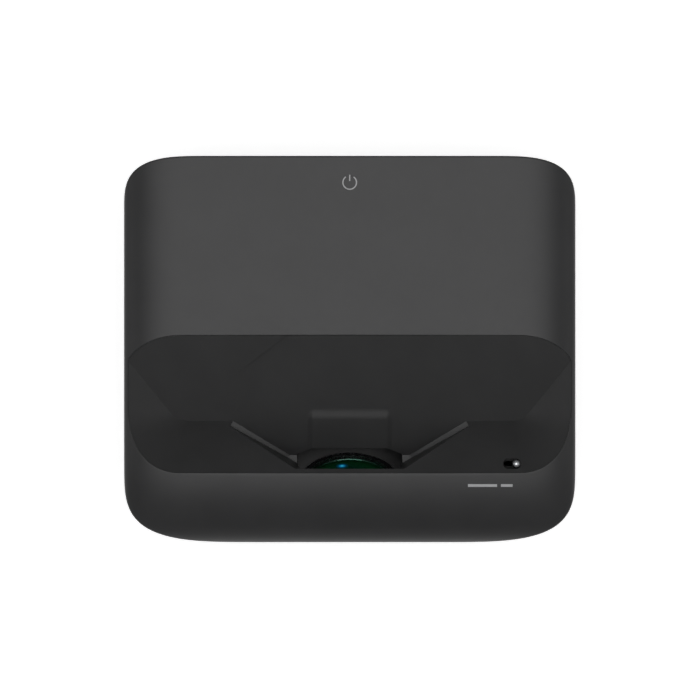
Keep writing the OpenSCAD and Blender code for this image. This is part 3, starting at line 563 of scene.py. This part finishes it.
def board(name, colour):
    """Circuit board: solder mask with lighter copper tracks under it."""
    material, tree, shader, place = new_material(name)
    tracks = tree.nodes.new("ShaderNodeTexVoronoi")
    tracks.distance = "CHEBYCHEV"
    tracks.feature = "DISTANCE_TO_EDGE"
    tracks.inputs["Scale"].default_value = 1 / (5 * MM)
    tree.links.new(place, tracks.inputs["Vector"])
    lighter = tuple(min(1, c * 2.6 + 0.01) for c in colour)
    tree.links.new(ramp(tree, tracks.outputs["Distance"], [(0.03, lighter), (0.08, colour)]),
                   shader.inputs["Base Color"])
    shader.inputs["Roughness"].default_value = 0.35
    bump(tree, shader, tracks.outputs["Distance"], 0.05)
    return material


SHELL = (0.024, 0.024, 0.0248)
MATERIALS = {
    "shell": moulded("shell_plastic", SHELL, rough=0.42),
    "recess": moulded("recess_plastic", (0.0265, 0.0265, 0.0270), rough=0.44),
    "black_plastic": moulded("black_plastic", (0.006, 0.006, 0.0065), rough=0.55, depth=0.03, specular=0.2),
    "rotor": moulded("rotor_plastic", (0.015, 0.015, 0.017), rough=0.35),
    "cloth": woven("speaker_cloth", (0.016, 0.016, 0.018)),
    "filter": pleated("filter_paper", (0.5, 0.5, 0.48)),
    "lens_ring": metal("turned_silver", (0.62, 0.63, 0.65), rough=0.26, stretch=(1, 1, 1)),
    "glass": coated_glass("coated_glass"),
    "mirror": metal("mirror_silver", (0.85, 0.87, 0.9), rough=0.08, stretch=(1, 1, 1), spread=0.02),
    "engine": metal("cast_aluminium", (0.30, 0.31, 0.32), rough=0.5, stretch=(1, 1, 1), spread=0.15),
    "panels": moulded("dark_window", (0.02, 0.004, 0.006), rough=0.08, depth=0.002),
    "copper": metal("copper", (0.6, 0.27, 0.15), rough=0.3, stretch=(1, 20, 1)),
    "phosphor": metal("phosphor_coat", (0.75, 0.6, 0.12), rough=0.4, stretch=(1, 1, 1)),
    "heatsink": metal("extruded_aluminium", (0.6, 0.61, 0.62), rough=0.35, stretch=(20, 1, 1)),
    "steel": metal("plated_steel", (0.55, 0.55, 0.57), rough=0.28, stretch=(1, 15, 1)),
    "circuit_board": board("solder_mask", (0.008, 0.05, 0.025)),
    "components": moulded("sleeved_parts", (0.04, 0.04, 0.06), rough=0.3),
    "button": moulded("button_plastic", (0.05, 0.05, 0.053), rough=0.35),
    "light_guide": glowing("light_guide", (0.35, 0.6, 1.0), 1.5),
    "speaker": metal("painted_frame", (0.05, 0.05, 0.055), rough=0.5, stretch=(1, 1, 1)),
    "cone": moulded("paper_cone", (0.02, 0.02, 0.02), rough=0.85, grain=1.2, depth=0.1),
    "rubber": moulded("foot_rubber", (0.010, 0.010, 0.010), rough=0.8, grain=0.6, depth=0.06),
    "dial": moulded("dial_plastic", (0.012, 0.012, 0.013), rough=0.45),
}
GOLD = metal("gold_contact", (0.75, 0.52, 0.18), rough=0.25, stretch=(1, 1, 1))
PRINT = moulded("printed_mark", (0.42, 0.42, 0.43), rough=0.5, depth=0.004)


def dress(obj, slot, material=None):
    """Gives an object one material, the slot's own unless another is given."""
    obj.data.materials.clear()
    obj.data.materials.append(material or MATERIALS[slot])


def add(obj, slot, body="case", material=None, stands_for=()):
    """Dresses a new piece, lets it ride on its body and hides the CAD nodes it stands for."""
    dress(obj, slot, material)
    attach(obj, body)
    if stands_for:
        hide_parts(*stands_for)
    return obj


def dress_nodes():
    """Gives each CAD node the material of its slot, and softens the edges of those that show."""
    softened = {"base_case": 0.5, "rear_panel": 0.3, "left_vent": 0.35, "right_vent": 0.35,
                "filter_cover": 0.35, "grille_frame": 0.3, "power_button": 0.5, "rear_feet": 0.8,
                "left_foot_pad": 0.6, "right_foot_pad": 0.6, "left_foot_dial": 0.25,
                "right_foot_dial": 0.25, "ac_inlet": 0.3, "audio_ports": 0.25, "lens_well": 0.3}
    for row in frame["record"]["subparts"]:
        obj = NODES[row["node"]]
        dress(obj, row["material_slot"])
        weld = obj.modifiers.new("weld", "WELD")
        weld.merge_threshold = 0.005 * MM
        if row["node"] in softened:
            edge = obj.modifiers.new("edge", "BEVEL")
            edge.width = softened[row["node"]] * MM
            edge.segments = 2
            edge.limit_method = "ANGLE"
            edge.angle_limit = math.radians(40)
        for polygon in obj.data.polygons:
            polygon.use_smooth = True
        smooth = obj.modifiers.new("smooth", "NODES")
        smooth.node_group = smooth_by_angle()


def smooth_by_angle():
    """A small node group that marks edges sharper than 30 degrees."""
    name = "smooth_by_angle"
    if name in bpy.data.node_groups:
        return bpy.data.node_groups[name]
    group = bpy.data.node_groups.new(name, "GeometryNodeTree")
    group.interface.new_socket("Geometry", in_out="INPUT", socket_type="NodeSocketGeometry")
    group.interface.new_socket("Geometry", in_out="OUTPUT", socket_type="NodeSocketGeometry")
    source = group.nodes.new("NodeGroupInput")
    result = group.nodes.new("NodeGroupOutput")
    angle = group.nodes.new("GeometryNodeInputMeshEdgeAngle")
    compare = group.nodes.new("FunctionNodeCompare")
    compare.operation = "LESS_THAN"
    compare.inputs[1].default_value = math.radians(30)
    shade = group.nodes.new("GeometryNodeSetShadeSmooth")
    shade.domain = "EDGE"
    group.links.new(angle.outputs["Unsigned Angle"], compare.inputs[0])
    group.links.new(source.outputs[0], shade.inputs["Geometry"])
    group.links.new(compare.outputs[0], shade.inputs["Shade Smooth"])
    group.links.new(shade.outputs[0], result.inputs[0])
    return group


# ---- Top cover ----

def outside(x, y):
    """Below 0 inside the body's outline, above 0 outside."""
    rx, ry, power = REAR_CORNER if y > 0 else FRONT_CORNER
    dx = max(0.0, abs(x) - (HALF_W - rx)) / rx
    dy = max(0.0, abs(y) - (HALF_D - ry)) / ry
    return dx ** power + dy ** power - 1


def solve(test, low, high):
    """The distance between low and high at which test turns from below 0 to above."""
    for _ in range(34):
        middle = (low + high) / 2
        if test(middle) < 0:
            low = middle
        else:
            high = middle
    return (low + high) / 2


def rays():
    """Directions from the recess's centre, close together where the rim or the outline turns."""
    angles = {round(math.atan2(90 * math.sin(math.radians(a / 2)), 300 * math.cos(math.radians(a / 2))), 5)
              for a in range(0, 720, 3)}
    for p in outline(0, 30, 6):
        d = p - RECESS_CENTRE
        angles.add(round(math.atan2(d.y, d.x), 5))
    kept = []
    for a in sorted(angles):
        if not kept or a - kept[-1] > 0.004:
            kept.append(a)
    return [Vector((math.cos(a), math.sin(a))) for a in kept]


def rim_distance(ray):
    """How far along a ray from its centre the recess rises to the top surface."""
    def gap(r):
        q = RECESS_CENTRE + ray * r
        return recess_z(q.x, q.y) - top_z(q.x, q.y)
    return solve(gap, 0, 400)


def edge_distance(ray):
    """How far along a ray from the recess's centre the body's outline lies."""
    def gap(r):
        q = RECESS_CENTRE + ray * r
        return outside(q.x, q.y)
    return solve(gap, 0, 400)


RAYS = rays()
RIM = [rim_distance(ray) for ray in RAYS]
EDGE = [edge_distance(ray) for ray in RAYS]


def edge_lean(ray, r):
    """Cosine between a ray and the outline's normal where it meets the outline."""
    q = RECESS_CENTRE + ray * r
    h = 0.05
    gradient = Vector((outside(q.x + h, q.y) - outside(q.x - h, q.y),
                       outside(q.x, q.y + h) - outside(q.x, q.y - h)))
    return max(0.35, gradient.normalized().dot(ray))


LEAN = [edge_lean(ray, r) for ray, r in zip(RAYS, EDGE)]


def top_cover():
    """One closed shell: the top surface from the recess's rim to the outline, the side wall down to
    the parting line, and back up the inside."""
    near_rim = (0, 0.12, 0.35, 0.65, 1.0)
    near_edge = (14, 10, 7, 5, 3.6, 2.6, 1.8, 1.2, 0.75, 0.4, 0.18, 0.06, 0)
    middle = 22
    rings = []

    def ring(distance, height):
        points = []
        for ray, rim, edge, lean in zip(RAYS, RIM, EDGE, LEAN):
            r = distance(rim, edge, lean)
            q = RECESS_CENTRE + ray * r
            points.append((q.x, q.y, height(q, r, rim, edge, lean)))
        rings.append(points)

    def surface(q, r, rim, edge, lean):
        return (top_z(q.x, q.y) - arc_drop((edge - r) * lean, TOP_EDGE_R, TOP_EDGE_R)
                - arc_drop(r - rim, RIM_EDGE_R, RIM_EDGE_R * 0.6))

    for d in near_rim:
        ring(lambda rim, edge, lean: rim + min(d, (edge - rim) * 0.3 * d), surface)
    for k in range(1, middle + 1):
        share = 1 - (1 - k / (middle + 1)) ** 1.3
        ring(lambda rim, edge, lean: rim_end(rim, edge) + (edge_start(rim, edge, lean)
             - rim_end(rim, edge)) * share, surface)
    for d in near_edge:
        ring(lambda rim, edge, lean: edge - min(d / lean, (edge - rim) * 0.5 * d / near_edge[0]), surface)
    wall_top = rings[-1]
    for share in (0.15, 0.5, 0.85):
        rings.append([(x, y, z + (SEAM_Z + SEAM_EDGE - z) * share) for x, y, z in wall_top])
    rings.append([(x, y, SEAM_Z + SEAM_EDGE) for x, y, z in wall_top])
    ring(lambda rim, edge, lean: edge - min(0.35 / lean, (edge - rim) * 0.1), lambda *a: SEAM_Z)
    ring(lambda rim, edge, lean: edge - min(WALL / lean, (edge - rim) * 0.7), lambda *a: SEAM_Z)
    ring(lambda rim, edge, lean: edge - min(WALL / lean, (edge - rim) * 0.7),
         lambda q, *a: top_z(q.x, q.y) - WALL * 1.6)
    for share in (0.8, 0.5, 0.2):
        ring(lambda rim, edge, lean: rim + (edge - WALL / lean - rim) * share if edge - rim > 12
             else rim + (edge - rim) * 0.3 * share, lambda q, *a: top_z(q.x, q.y) - WALL)
    ring(lambda rim, edge, lean: rim, lambda q, *a: top_z(q.x, q.y) - WALL)
    return loft(rings, "top_cover_shell", loop=True, smooth_angle=35)


def seam_lip():
    """Inner lip that keeps light out of the parting line, all the way round."""
    outer, inner = outline(WALL + 0.05), outline(WALL + 1.2)
    low, high = BASE_TOP - 1, SEAM_Z + 2
    rings = [[(p.x, p.y, z) for p in edge]
             for edge, z in ((outer, low), (outer, high), (inner, high), (inner, low))]
    return loft(rings, "seam_lip", loop=True)


def rim_end(rim, edge):
    """Where the fine rings beside the recess's rim end."""
    return rim + min(1.0, (edge - rim) * 0.3)


def edge_start(rim, edge, lean):
    """Where the fine rings beside the outline start."""
    return edge - min(14 / lean, (edge - rim) * 0.5)


# ---- Recess tray ----

def climb_cut(plane, lower=0.0):
    """Keeps what is above a sloping plane, lowered by lower."""
    (x, y, z), slope, turn = plane
    normal = Vector((-slope * math.cos(turn), -slope * math.sin(turn), 1)).normalized()
    return Vector((x, y, z - lower)), normal


def recess_block(grow):
    """The space above the recess's slopes, lowered by grow."""
    cuts = [climb_cut(plane, grow) for plane in RECESS_PLANES]
    return convex("recess_space", (-HALF_W, FRONT_Y, 20), (HALF_W, HALF_D, BODY_H + 12), cuts)


def trench_block(grow):
    """The space of the trench in front of the crease, larger by grow."""
    cuts = [climb_cut(((0, CREASE_Y, CREASE_Z), REAR_SLOPE, math.pi / 2), grow)]
    for side in (-1, 1):
        along = TRENCH_ANGLE if side > 0 else math.pi - TRENCH_ANGLE
        out = along - math.pi / 2 if side > 0 else along + math.pi / 2
        start = Vector((side * TRENCH_HALF, CREASE_Y, CREASE_Z))
        cuts.append(climb_cut((start, LEDGE_SLOPE, along), grow))
        wall_foot = start + Vector((math.cos(out), math.sin(out), 0)) * (LEDGE_W + grow)
        cuts.append(climb_cut((wall_foot, TRENCH_WALL_SLOPE, out)))
        end = Vector((math.cos(along), math.sin(along), 0))
        cuts.append((start + end * grow, -end))
    low = (-HALF_W, LIP_Y + STRIP_D - 2 * grow, LANDING_Z - grow)
    return convex("trench_space", low, (HALF_W, HALF_D, BODY_H + 12), cuts)


def well_plan(grow, front):
    """Plan outline of the well around the lens, larger by grow."""
    half = WELL_HALF + grow
    return [(-half, front), (half, front), (half, WELL_BEND_Y), (WELL_REAR_HALF + grow, WELL_REAR_Y + grow),
            (-WELL_REAR_HALF - grow, WELL_REAR_Y + grow), (-half, WELL_BEND_Y)]


def strip_block(grow):
    """The space under the strip that spans the trench at the lip."""
    top = CREASE_Z + FRONT_SLOPE * (CREASE_Y - LIP_Y - STRIP_D) - 2 * TRAY_WALL
    half = WELL_HALF - 1 + grow
    return rounded_slab(rect(-half, LIP_Y - 30, half, LIP_Y + STRIP_D + 1), 30, top, "strip_space", 0)


def recess_tray():
    """Tray under the recess: slopes, trench, ledges, lens opening and lever slot in one shell."""
    skirt_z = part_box("recess_tray")[0].z / MM
    gap = 0.25
    tray = recess_block(TRAY_WALL)
    boolean(tray, trench_block(TRAY_WALL), "UNION")
    boolean(tray, strip_block(TRAY_WALL), "UNION")
    boolean(tray, rounded_slab(well_plan(TRAY_WALL, LIP_Y - 90), skirt_z, skirt_z + 20, "skirt", 0), "UNION")
    plan = [RECESS_CENTRE + ray * (rim - gap) for ray, rim in zip(RAYS, RIM)]
    boolean(tray, rounded_slab(plan, skirt_z, BODY_H + 10, "rim_prism", 0), "INTERSECT")
    boolean(tray, recess_block(0), "DIFFERENCE")
    boolean(tray, trench_block(0), "DIFFERENCE")
    boolean(tray, strip_block(0), "DIFFERENCE")
    boolean(tray, rounded_slab(well_plan(0, LIP_Y - 90), 30, 90, "well", 0), "DIFFERENCE")
    slot_low, slot_high = lever_slot()
    boolean(tray, rounded_slab(stadium(slot_low, slot_high), 60, BODY_H + 10, "slot", 0), "DIFFERENCE")
    merge_flat_faces(tray)
    edge = tray.modifiers.new("edge", "BEVEL")
    edge.width = 0.5 * MM
    edge.segments = 2
    edge.limit_method = "ANGLE"
    edge.angle_limit = math.radians(10)
    apply_modifiers(tray)
    tray.name = "recess_tray_shell"
    for polygon in tray.data.polygons:
        polygon.use_smooth = False
    return tray


def lever_slot():
    """Low and high plan corners of the focus lever's slot."""
    low, high = [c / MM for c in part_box("focus_knob")]
    return Vector((low.x - FOCUS_TRAVEL - 0.3, low.y - 1)), Vector((high.x + 0.3, high.y + 1))


def stadium(low, high):
    """Plan outline with round ends that fills the box from low to high."""
    steps = 10
    r = min(high.x - low.x, high.y - low.y) / 2 * 0.98
    points = []
    for cx, cy, start in ((high.x - r, high.y - r, 0), (low.x + r, high.y - r, 1),
                          (low.x + r, low.y + r, 2), (high.x - r, low.y + r, 3)):
        for i in range(steps + 1):
            a = (start + i / steps) * math.pi / 2
            points.append((cx + r * math.cos(a), cy + r * math.sin(a)))
    return points


def smoothstep(x):
    """Eases from 0 to 1."""
    x = max(0.0, min(1.0, x))
    return x * x * (3 - 2 * x)


def lens_pad():
    """Slightly raised pad behind the lens, soft at its edges and rounded at its rear corners."""
    rear_y = WELL_REAR_Y + PAD_L
    soft = 3.0
    nx, ny = 64, 48
    rows_top, rows_low = [], []
    for j in range(ny + 1):
        y = WELL_REAR_Y + 0.3 + (rear_y + soft - WELL_REAR_Y) * j / ny
        top, low = [], []
        for i in range(nx + 1):
            x = (PAD_HALF + soft) * (2 * i / nx - 1)
            inward = PAD_HALF + soft - abs(x)
            behind = rear_y + soft - y
            side = smoothstep(inward / (2 * soft))
            rear = smoothstep(behind / (PAD_STEP + soft)) * smoothstep(inward / 9 + behind / 20)
            rise = PAD_RISE * (side * rear if behind < PAD_STEP + soft else side)
            top.append((x, y, rear_plane(y) + 0.02 + rise))
            low.append((x, y, rear_plane(y) - 0.8))
        rows_top.append(top)
        rows_low.append(low)
    return grid_slab(rows_top, rows_low, "lens_pad", 50)


# ---- Lens and lever ----

LENS_FRAME = Matrix.Translation(LENS * MM) @ Matrix.Rotation(-(math.pi / 2 - LENS_TILT), 4, "X")


def lens_pieces():
    """Black bezel with its bright outer line, the glass's retainer, and the front glass."""
    bezel = lathe([(GLASS_R + 0.1, -4), (RING_R - 0.6, -4), (RING_R - 0.6, -1.4), (RING_R - 1.6, -0.5),
                   (RING_R - 2.4, -1.2), (RING_R - 4.2, -1.2), (RING_R - 4.6, -0.4), (GLASS_R + 1.7, -0.4),
                   (GLASS_R + 0.1, -2.2)], "lens_bezel", LENS_FRAME, 144)
    add(bezel, "black_plastic", stands_for=["lens_ring"])
    outer = lathe([(RING_R - 0.7, -2.4), (RING_R, -2.4), (RING_R, -1.2), (RING_R - 1.0, -0.1),
                   (RING_R - 1.5, -0.1), (RING_R - 1.3, -0.9)], "bezel_line", LENS_FRAME, 144)
    add(outer, "lens_ring")
    inner = lathe([(GLASS_R + 0.1, -1.8), (GLASS_R + 1.8, -0.6), (GLASS_R + 1.8, -0.1),
                   (GLASS_R + 0.9, 0.6), (GLASS_R + 0.1, 0.1)], "glass_retainer", LENS_FRAME, 144)
    add(inner, "lens_ring")
    radius = ((GLASS_R - 1) ** 2 + GLASS_BULGE ** 2) / (2 * GLASS_BULGE)
    arc = []
    steps = 16
    for i in range(steps + 1):
        r = (GLASS_R - 1) * (1 - i / steps)
        arc.append((r, math.sqrt(radius ** 2 - r ** 2) - radius + GLASS_BULGE - 2))
    glass = lathe([(0, -11.5), (GLASS_R - 0.1, -11.5), (GLASS_R - 0.1, -2.6)] + arc, "front_glass",
                  LENS_FRAME, 144, 20)
    add(glass, "glass", stands_for=["front_lens"])


def knob():
    """Round metal knob of the focus lever."""
    low, high = [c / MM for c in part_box("focus_knob")]
    r = (high.x - low.x) / 2
    centre = Vector(((low.x + high.x) / 2, (low.y + high.y) / 2, high.z - r))
    steps = 18
    profile = [(r * math.sin(math.pi * i / steps), r * math.cos(math.pi * i / steps))
               for i in range(steps - 2)]
    profile += [(r * 0.42, -r * 0.93), (r * 0.42, -r - 1.5), (0, -r - 1.5)]
    ball = lathe(profile, "focus_lever_ball", Matrix.Translation(centre * MM), 48)
    add(ball, "lens_ring", "focus_lever", stands_for=["focus_knob"])


def lever_slot_trim():
    """Soft dark gasket under the lever's slot."""
    low, high = lever_slot()
    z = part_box("focus_knob")[0].z / MM - 6
    slab = rounded_slab(stadium(low - Vector((3, 3)), high + Vector((3, 3))), z, z + 1, "lever_gasket", 0.2)
    hole = Vector((0.5, (high.y - low.y) / 2 - 2.6))
    boolean(slab, rounded_slab(stadium(low + hole, high - hole), z - 1, z + 2, "gasket_slit", 0),
            "DIFFERENCE")
    add(slab, "rubber")


# ---- Sockets, screws and vents ----

def contact_tongue(x, z, width, height, depth, contacts, both_sides, name):
    """Moulded tongue inside a socket, with a row of gold contacts let into it."""
    mouth = HALF_D - 2.2
    flat = Matrix.Translation(Vector((x, mouth, z)) * MM) @ Matrix.Rotation(math.pi / 2, 4, "X")
    half_w, half_h = width / 2, height / 2
    tongue = rounded_slab(rect(-half_w, -half_h, half_w, half_h), 0, depth, name, 0.25, flat)
    add(tongue, "black_plastic")
    pitch = (width - 1.2) / contacts
    bars = []
    for side in ((-1, 1) if both_sides else (-1,)):
        level = side * half_h
        for i in range(contacts):
            left = -half_w + 0.6 + pitch * (i + 0.22)
            bars.append(rounded_slab(rect(left, level - 0.08, left + pitch * 0.56, level + 0.08),
                                     0.7, depth - 0.5, "bar", 0, flat))
    row = join(bars, name + "_contacts")
    add(row, "copper", material=GOLD)


def join(objects, name):
    """One object from several."""
    bm = bmesh.new()
    for obj in objects:
        bm.from_mesh(obj.data)
        bpy.data.objects.remove(obj)
    return finish_mesh(bm, name)


def socket_liner(x, z, width, height, rim, depth, name):
    """Thin dark moulding that lines a socket behind its plated rim."""
    flat = Matrix.Translation(Vector((x, HALF_D - 1.4, z)) * MM) @ Matrix.Rotation(math.pi / 2, 4, "X")
    half_w, half_h = width / 2 - rim, height / 2 - rim
    liner = rounded_slab(rect(-half_w, -half_h, half_w, half_h), 0, depth - 1.2, name, 0, flat)
    inner = rect(-half_w + 0.22, -half_h + 0.22, half_w - 0.22, half_h - 0.22)
    boolean(liner, rounded_slab(inner, -1, depth - 1.6, "liner_space", 0, flat), "DIFFERENCE")
    add(liner, "black_plastic")


def port_details():
    """Liners, tongues and contacts in the sockets, the jack's collar and the optical flap."""
    for i, x in enumerate(VIDEO_X):
        socket_liner(x, PORT_Z, VIDEO_W, VIDEO_H, 0.7, VIDEO_DEEP, "video_liner_%d" % (i + 1))
        contact_tongue(x, PORT_Z, 10.6, 1.5, 9.5, 9, True, "video_tongue_%d" % (i + 1))
    for i, x in enumerate(DATA_X):
        socket_liner(x, PORT_Z, DATA_W, DATA_H, 0.8, DATA_DEEP, "data_liner_%d" % (i + 1))
        contact_tongue(x, PORT_Z + 1.2, 11.4, 1.9, 11, 4, False, "data_tongue_%d" % (i + 1))
    turn = Matrix.Rotation(-math.pi / 2, 4, "X")
    collar = lathe([(1.9, -0.5), (3.3, -0.5), (3.3, 0.1), (3.0, 0.3), (2.2, 0.3), (1.9, 0)], "jack_collar",
                   Matrix.Translation(Vector((JACK_X, HALF_D - 0.35, PORT_Z)) * MM) @ turn, 48)
    add(collar, "lens_ring")
    flat = Matrix.Translation(Vector((OPTICAL_X, HALF_D - 1.6, PORT_Z)) * MM) @ Matrix.Rotation(
        math.pi / 2, 4, "X")
    flap = rounded_slab(rect(-2.85, -2.85, 2.85, 2.85), 0, 0.7, "optical_flap", 0.3, flat)
    add(flap, "panels")


def vent_mesh(x_side, y_low, y_high, name):
    """Fine wire mesh close behind a louvred side panel."""
    x = x_side * (HALF_W - WALL - 0.5)
    bars = []
    count = int((y_high - y_low) / MESH_PITCH)
    for i in range(count + 1):
        y = y_low + i * MESH_PITCH
        bars.append(((x - WIRE, y - WIRE, MESH_LOW), (x + WIRE, y + WIRE, MESH_HIGH)))
    for i in range(int((MESH_HIGH - MESH_LOW) / MESH_PITCH) + 1):
        z = MESH_LOW + i * MESH_PITCH
        bars.append(((x - WIRE, y_low, z - WIRE), (x + WIRE, y_high, z + WIRE)))
    bm = bmesh.new()
    for lo, hi in bars:
        corners = [bm.verts.new(Vector((cx, cy, cz)) * MM)
                   for cx in (lo[0], hi[0]) for cy in (lo[1], hi[1]) for cz in (lo[2], hi[2])]
        for face in ((0, 1, 3, 2), (4, 6, 7, 5), (0, 4, 5, 1), (2, 3, 7, 6), (0, 2, 6, 4), (1, 5, 7, 3)):
            bm.faces.new([corners[k] for k in face])
    add(finish_mesh(bm, name), "black_plastic")


# ---- Printed marks ----

def printed_patch(rows, name):
    """Thin ink patch over a grid of plan points, following the top cover's surface."""
    top = [[(x, y, top_z(x, y) + INK_PROUD) for x, y in row] for row in rows]
    low = [[(x, y, top_z(x, y) - INK_DEEP) for x, y in row] for row in rows]
    return grid_slab(top, low, name, 40)


def arc_patch(centre, inner, outer, start, end, name):
    """Ink arc between two radii from start to end degrees."""
    rows = []
    for r in (inner, (inner + outer) / 2, outer):
        angles = [math.radians(start + (end - start) * i / ARC_STEPS) for i in range(ARC_STEPS + 1)]
        rows.append([(centre[0] + r * math.cos(a), centre[1] + r * math.sin(a)) for a in angles])
    return printed_patch(rows, name)


def bar_patch(x0, x1, y0, y1, name):
    """Ink bar between two plan corners."""
    return printed_patch([[(x0 + (x1 - x0) * i / BAR_STEPS, y) for i in range(BAR_STEPS + 1)]
                          for y in (y0, (y0 + y1) / 2, y1)], name)


def printed_marks():
    """A power-style ring at the rear and a plain pair of bars at the front right."""
    marks = [arc_patch((0, RING_MARK_Y), 6.4, 7.6, 125, 415, "mark_ring"),
             bar_patch(-0.6, 0.6, RING_MARK_Y + 1.5, RING_MARK_Y + 8, "mark_stroke"),
             bar_patch(122, 152, *BAR_MARK_Y, "mark_bar_long"),
             bar_patch(156, 168, *BAR_MARK_Y, "mark_bar_short")]
    for mark in marks:
        add(mark, "shell", material=PRINT)


# ---- Stage, lights and camera ----

def make_stage():
    """Pale floor and a curved wall far behind."""
    bm = bmesh.new()
    bmesh.ops.create_grid(bm, x_segments=8, y_segments=8, size=FLOOR_REACH)
    floor = finish_mesh(bm, "studio_floor", 60)
    material, _, shader, _ = new_material("studio_white")
    shader.inputs["Base Color"].default_value = (0.8, 0.8, 0.8, 1)
    shader.inputs["Roughness"].default_value = 0.9
    shader.inputs["Specular IOR Level"].default_value = 0.1
    shader.inputs["Emission Color"].default_value = (1, 1, 1, 1)
    shader.inputs["Emission Strength"].default_value = FLOOR_GLOW
    cove_steps = 12
    turned = [(WALL_REACH, WALL_RISE)]
    for i in range(cove_steps + 1):
        a = i * math.pi / 2 / cove_steps
        turned.append((WALL_REACH - COVE_R + COVE_R * math.cos(a), COVE_R - COVE_R * math.sin(a)))
    turned.append((WALL_REACH - COVE_R, 0.0))
    wall = lathe([(r / MM, z / MM) for r, z in turned], "studio_wall", Matrix.Identity(4), 96, 60)
    wall.visible_diffuse = False
    wall.visible_shadow = False
    for piece in (floor, wall):
        piece.data.materials.append(material)
        piece.visible_glossy = False


def area_light(name, place, target, size, power):
    """Rectangular softbox at place, turned to target; lengths in metres, power in watts."""
    light = bpy.data.lights.new(name, "AREA")
    light.shape = "RECTANGLE"
    light.size, light.size_y = size
    light.energy = power
    obj = bpy.data.objects.new(name, light)
    obj.location = place
    aim = Vector(target) - Vector(place)
    obj.rotation_euler = aim.to_track_quat("-Z", "Y").to_euler()
    obj.visible_camera = False
    bpy.context.scene.collection.objects.link(obj)
    return obj


def make_lights():
    """Softboxes above and beside, and a world that is bright below the horizon and dim above it."""
    area_light("overhead_softbox", (0, -0.1, OVERHEAD_HEIGHT), (0, -0.1, 0), OVERHEAD_SIZE, OVERHEAD_POWER)
    for side in (-1, 1):
        place = (side * SIDE_REACH, 0, SIDE_HEIGHT)
        area_light("side_softbox", place, (0, 0, 0.1), SIDE_SIZE, SIDE_POWER)
    world = bpy.data.worlds.new("studio")
    world.use_nodes = True
    tree = world.node_tree
    split = tree.nodes.new("ShaderNodeSeparateXYZ")
    tree.links.new(tree.nodes.new("ShaderNodeTexCoord").outputs["Generated"], split.inputs[0])
    upward = maths(tree, "MULTIPLY_ADD", split.outputs["Z"], 0.5)
    upward.node.inputs[2].default_value = 0.5
    greys = ramp(tree, upward, [(at, (grey, grey, grey)) for at, grey in WORLD_GREYS])
    tree.links.new(greys, tree.nodes["Background"].inputs["Color"])
    scene = bpy.context.scene
    scene.world = world
    scene.view_settings.view_transform = "Standard"
    scene.view_settings.look = "None"
    scene.view_settings.exposure = 0
    scene.view_settings.gamma = 1


def make_camera():
    """Straight above, so that the body's upper edge fills two thirds of the frame's width."""
    data = bpy.data.cameras.new("camera")
    data.sensor_width = SENSOR
    data.lens = CAMERA_LENS
    distance = FRAME_WIDTH * CAMERA_LENS / data.sensor_width
    camera = bpy.data.objects.new("camera", data)
    camera.location = (0.3 * MM, -0.2 * MM, FRAME_HEIGHT + distance)
    bpy.context.scene.collection.objects.link(camera)
    bpy.context.scene.camera = camera


# ---- The projector ----

dress_nodes()
add(top_cover(), "shell", stands_for=["top_cover"])
add(seam_lip(), "black_plastic")
add(recess_tray(), "recess", stands_for=["recess_tray"])
add(lens_pad(), "recess")
lens_pieces()
knob()
lever_slot_trim()
printed_marks()
port_details()
left_low, left_high = [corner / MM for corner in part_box("left_vent")]
right_low, right_high = [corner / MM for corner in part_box("right_vent")]
vent_mesh(-1, left_low.y + 3, left_high.y - 3, "left_vent_mesh")
vent_mesh(1, right_low.y + 3, right_high.y - 3, "right_vent_mesh")
make_stage()
make_lights()
make_camera()
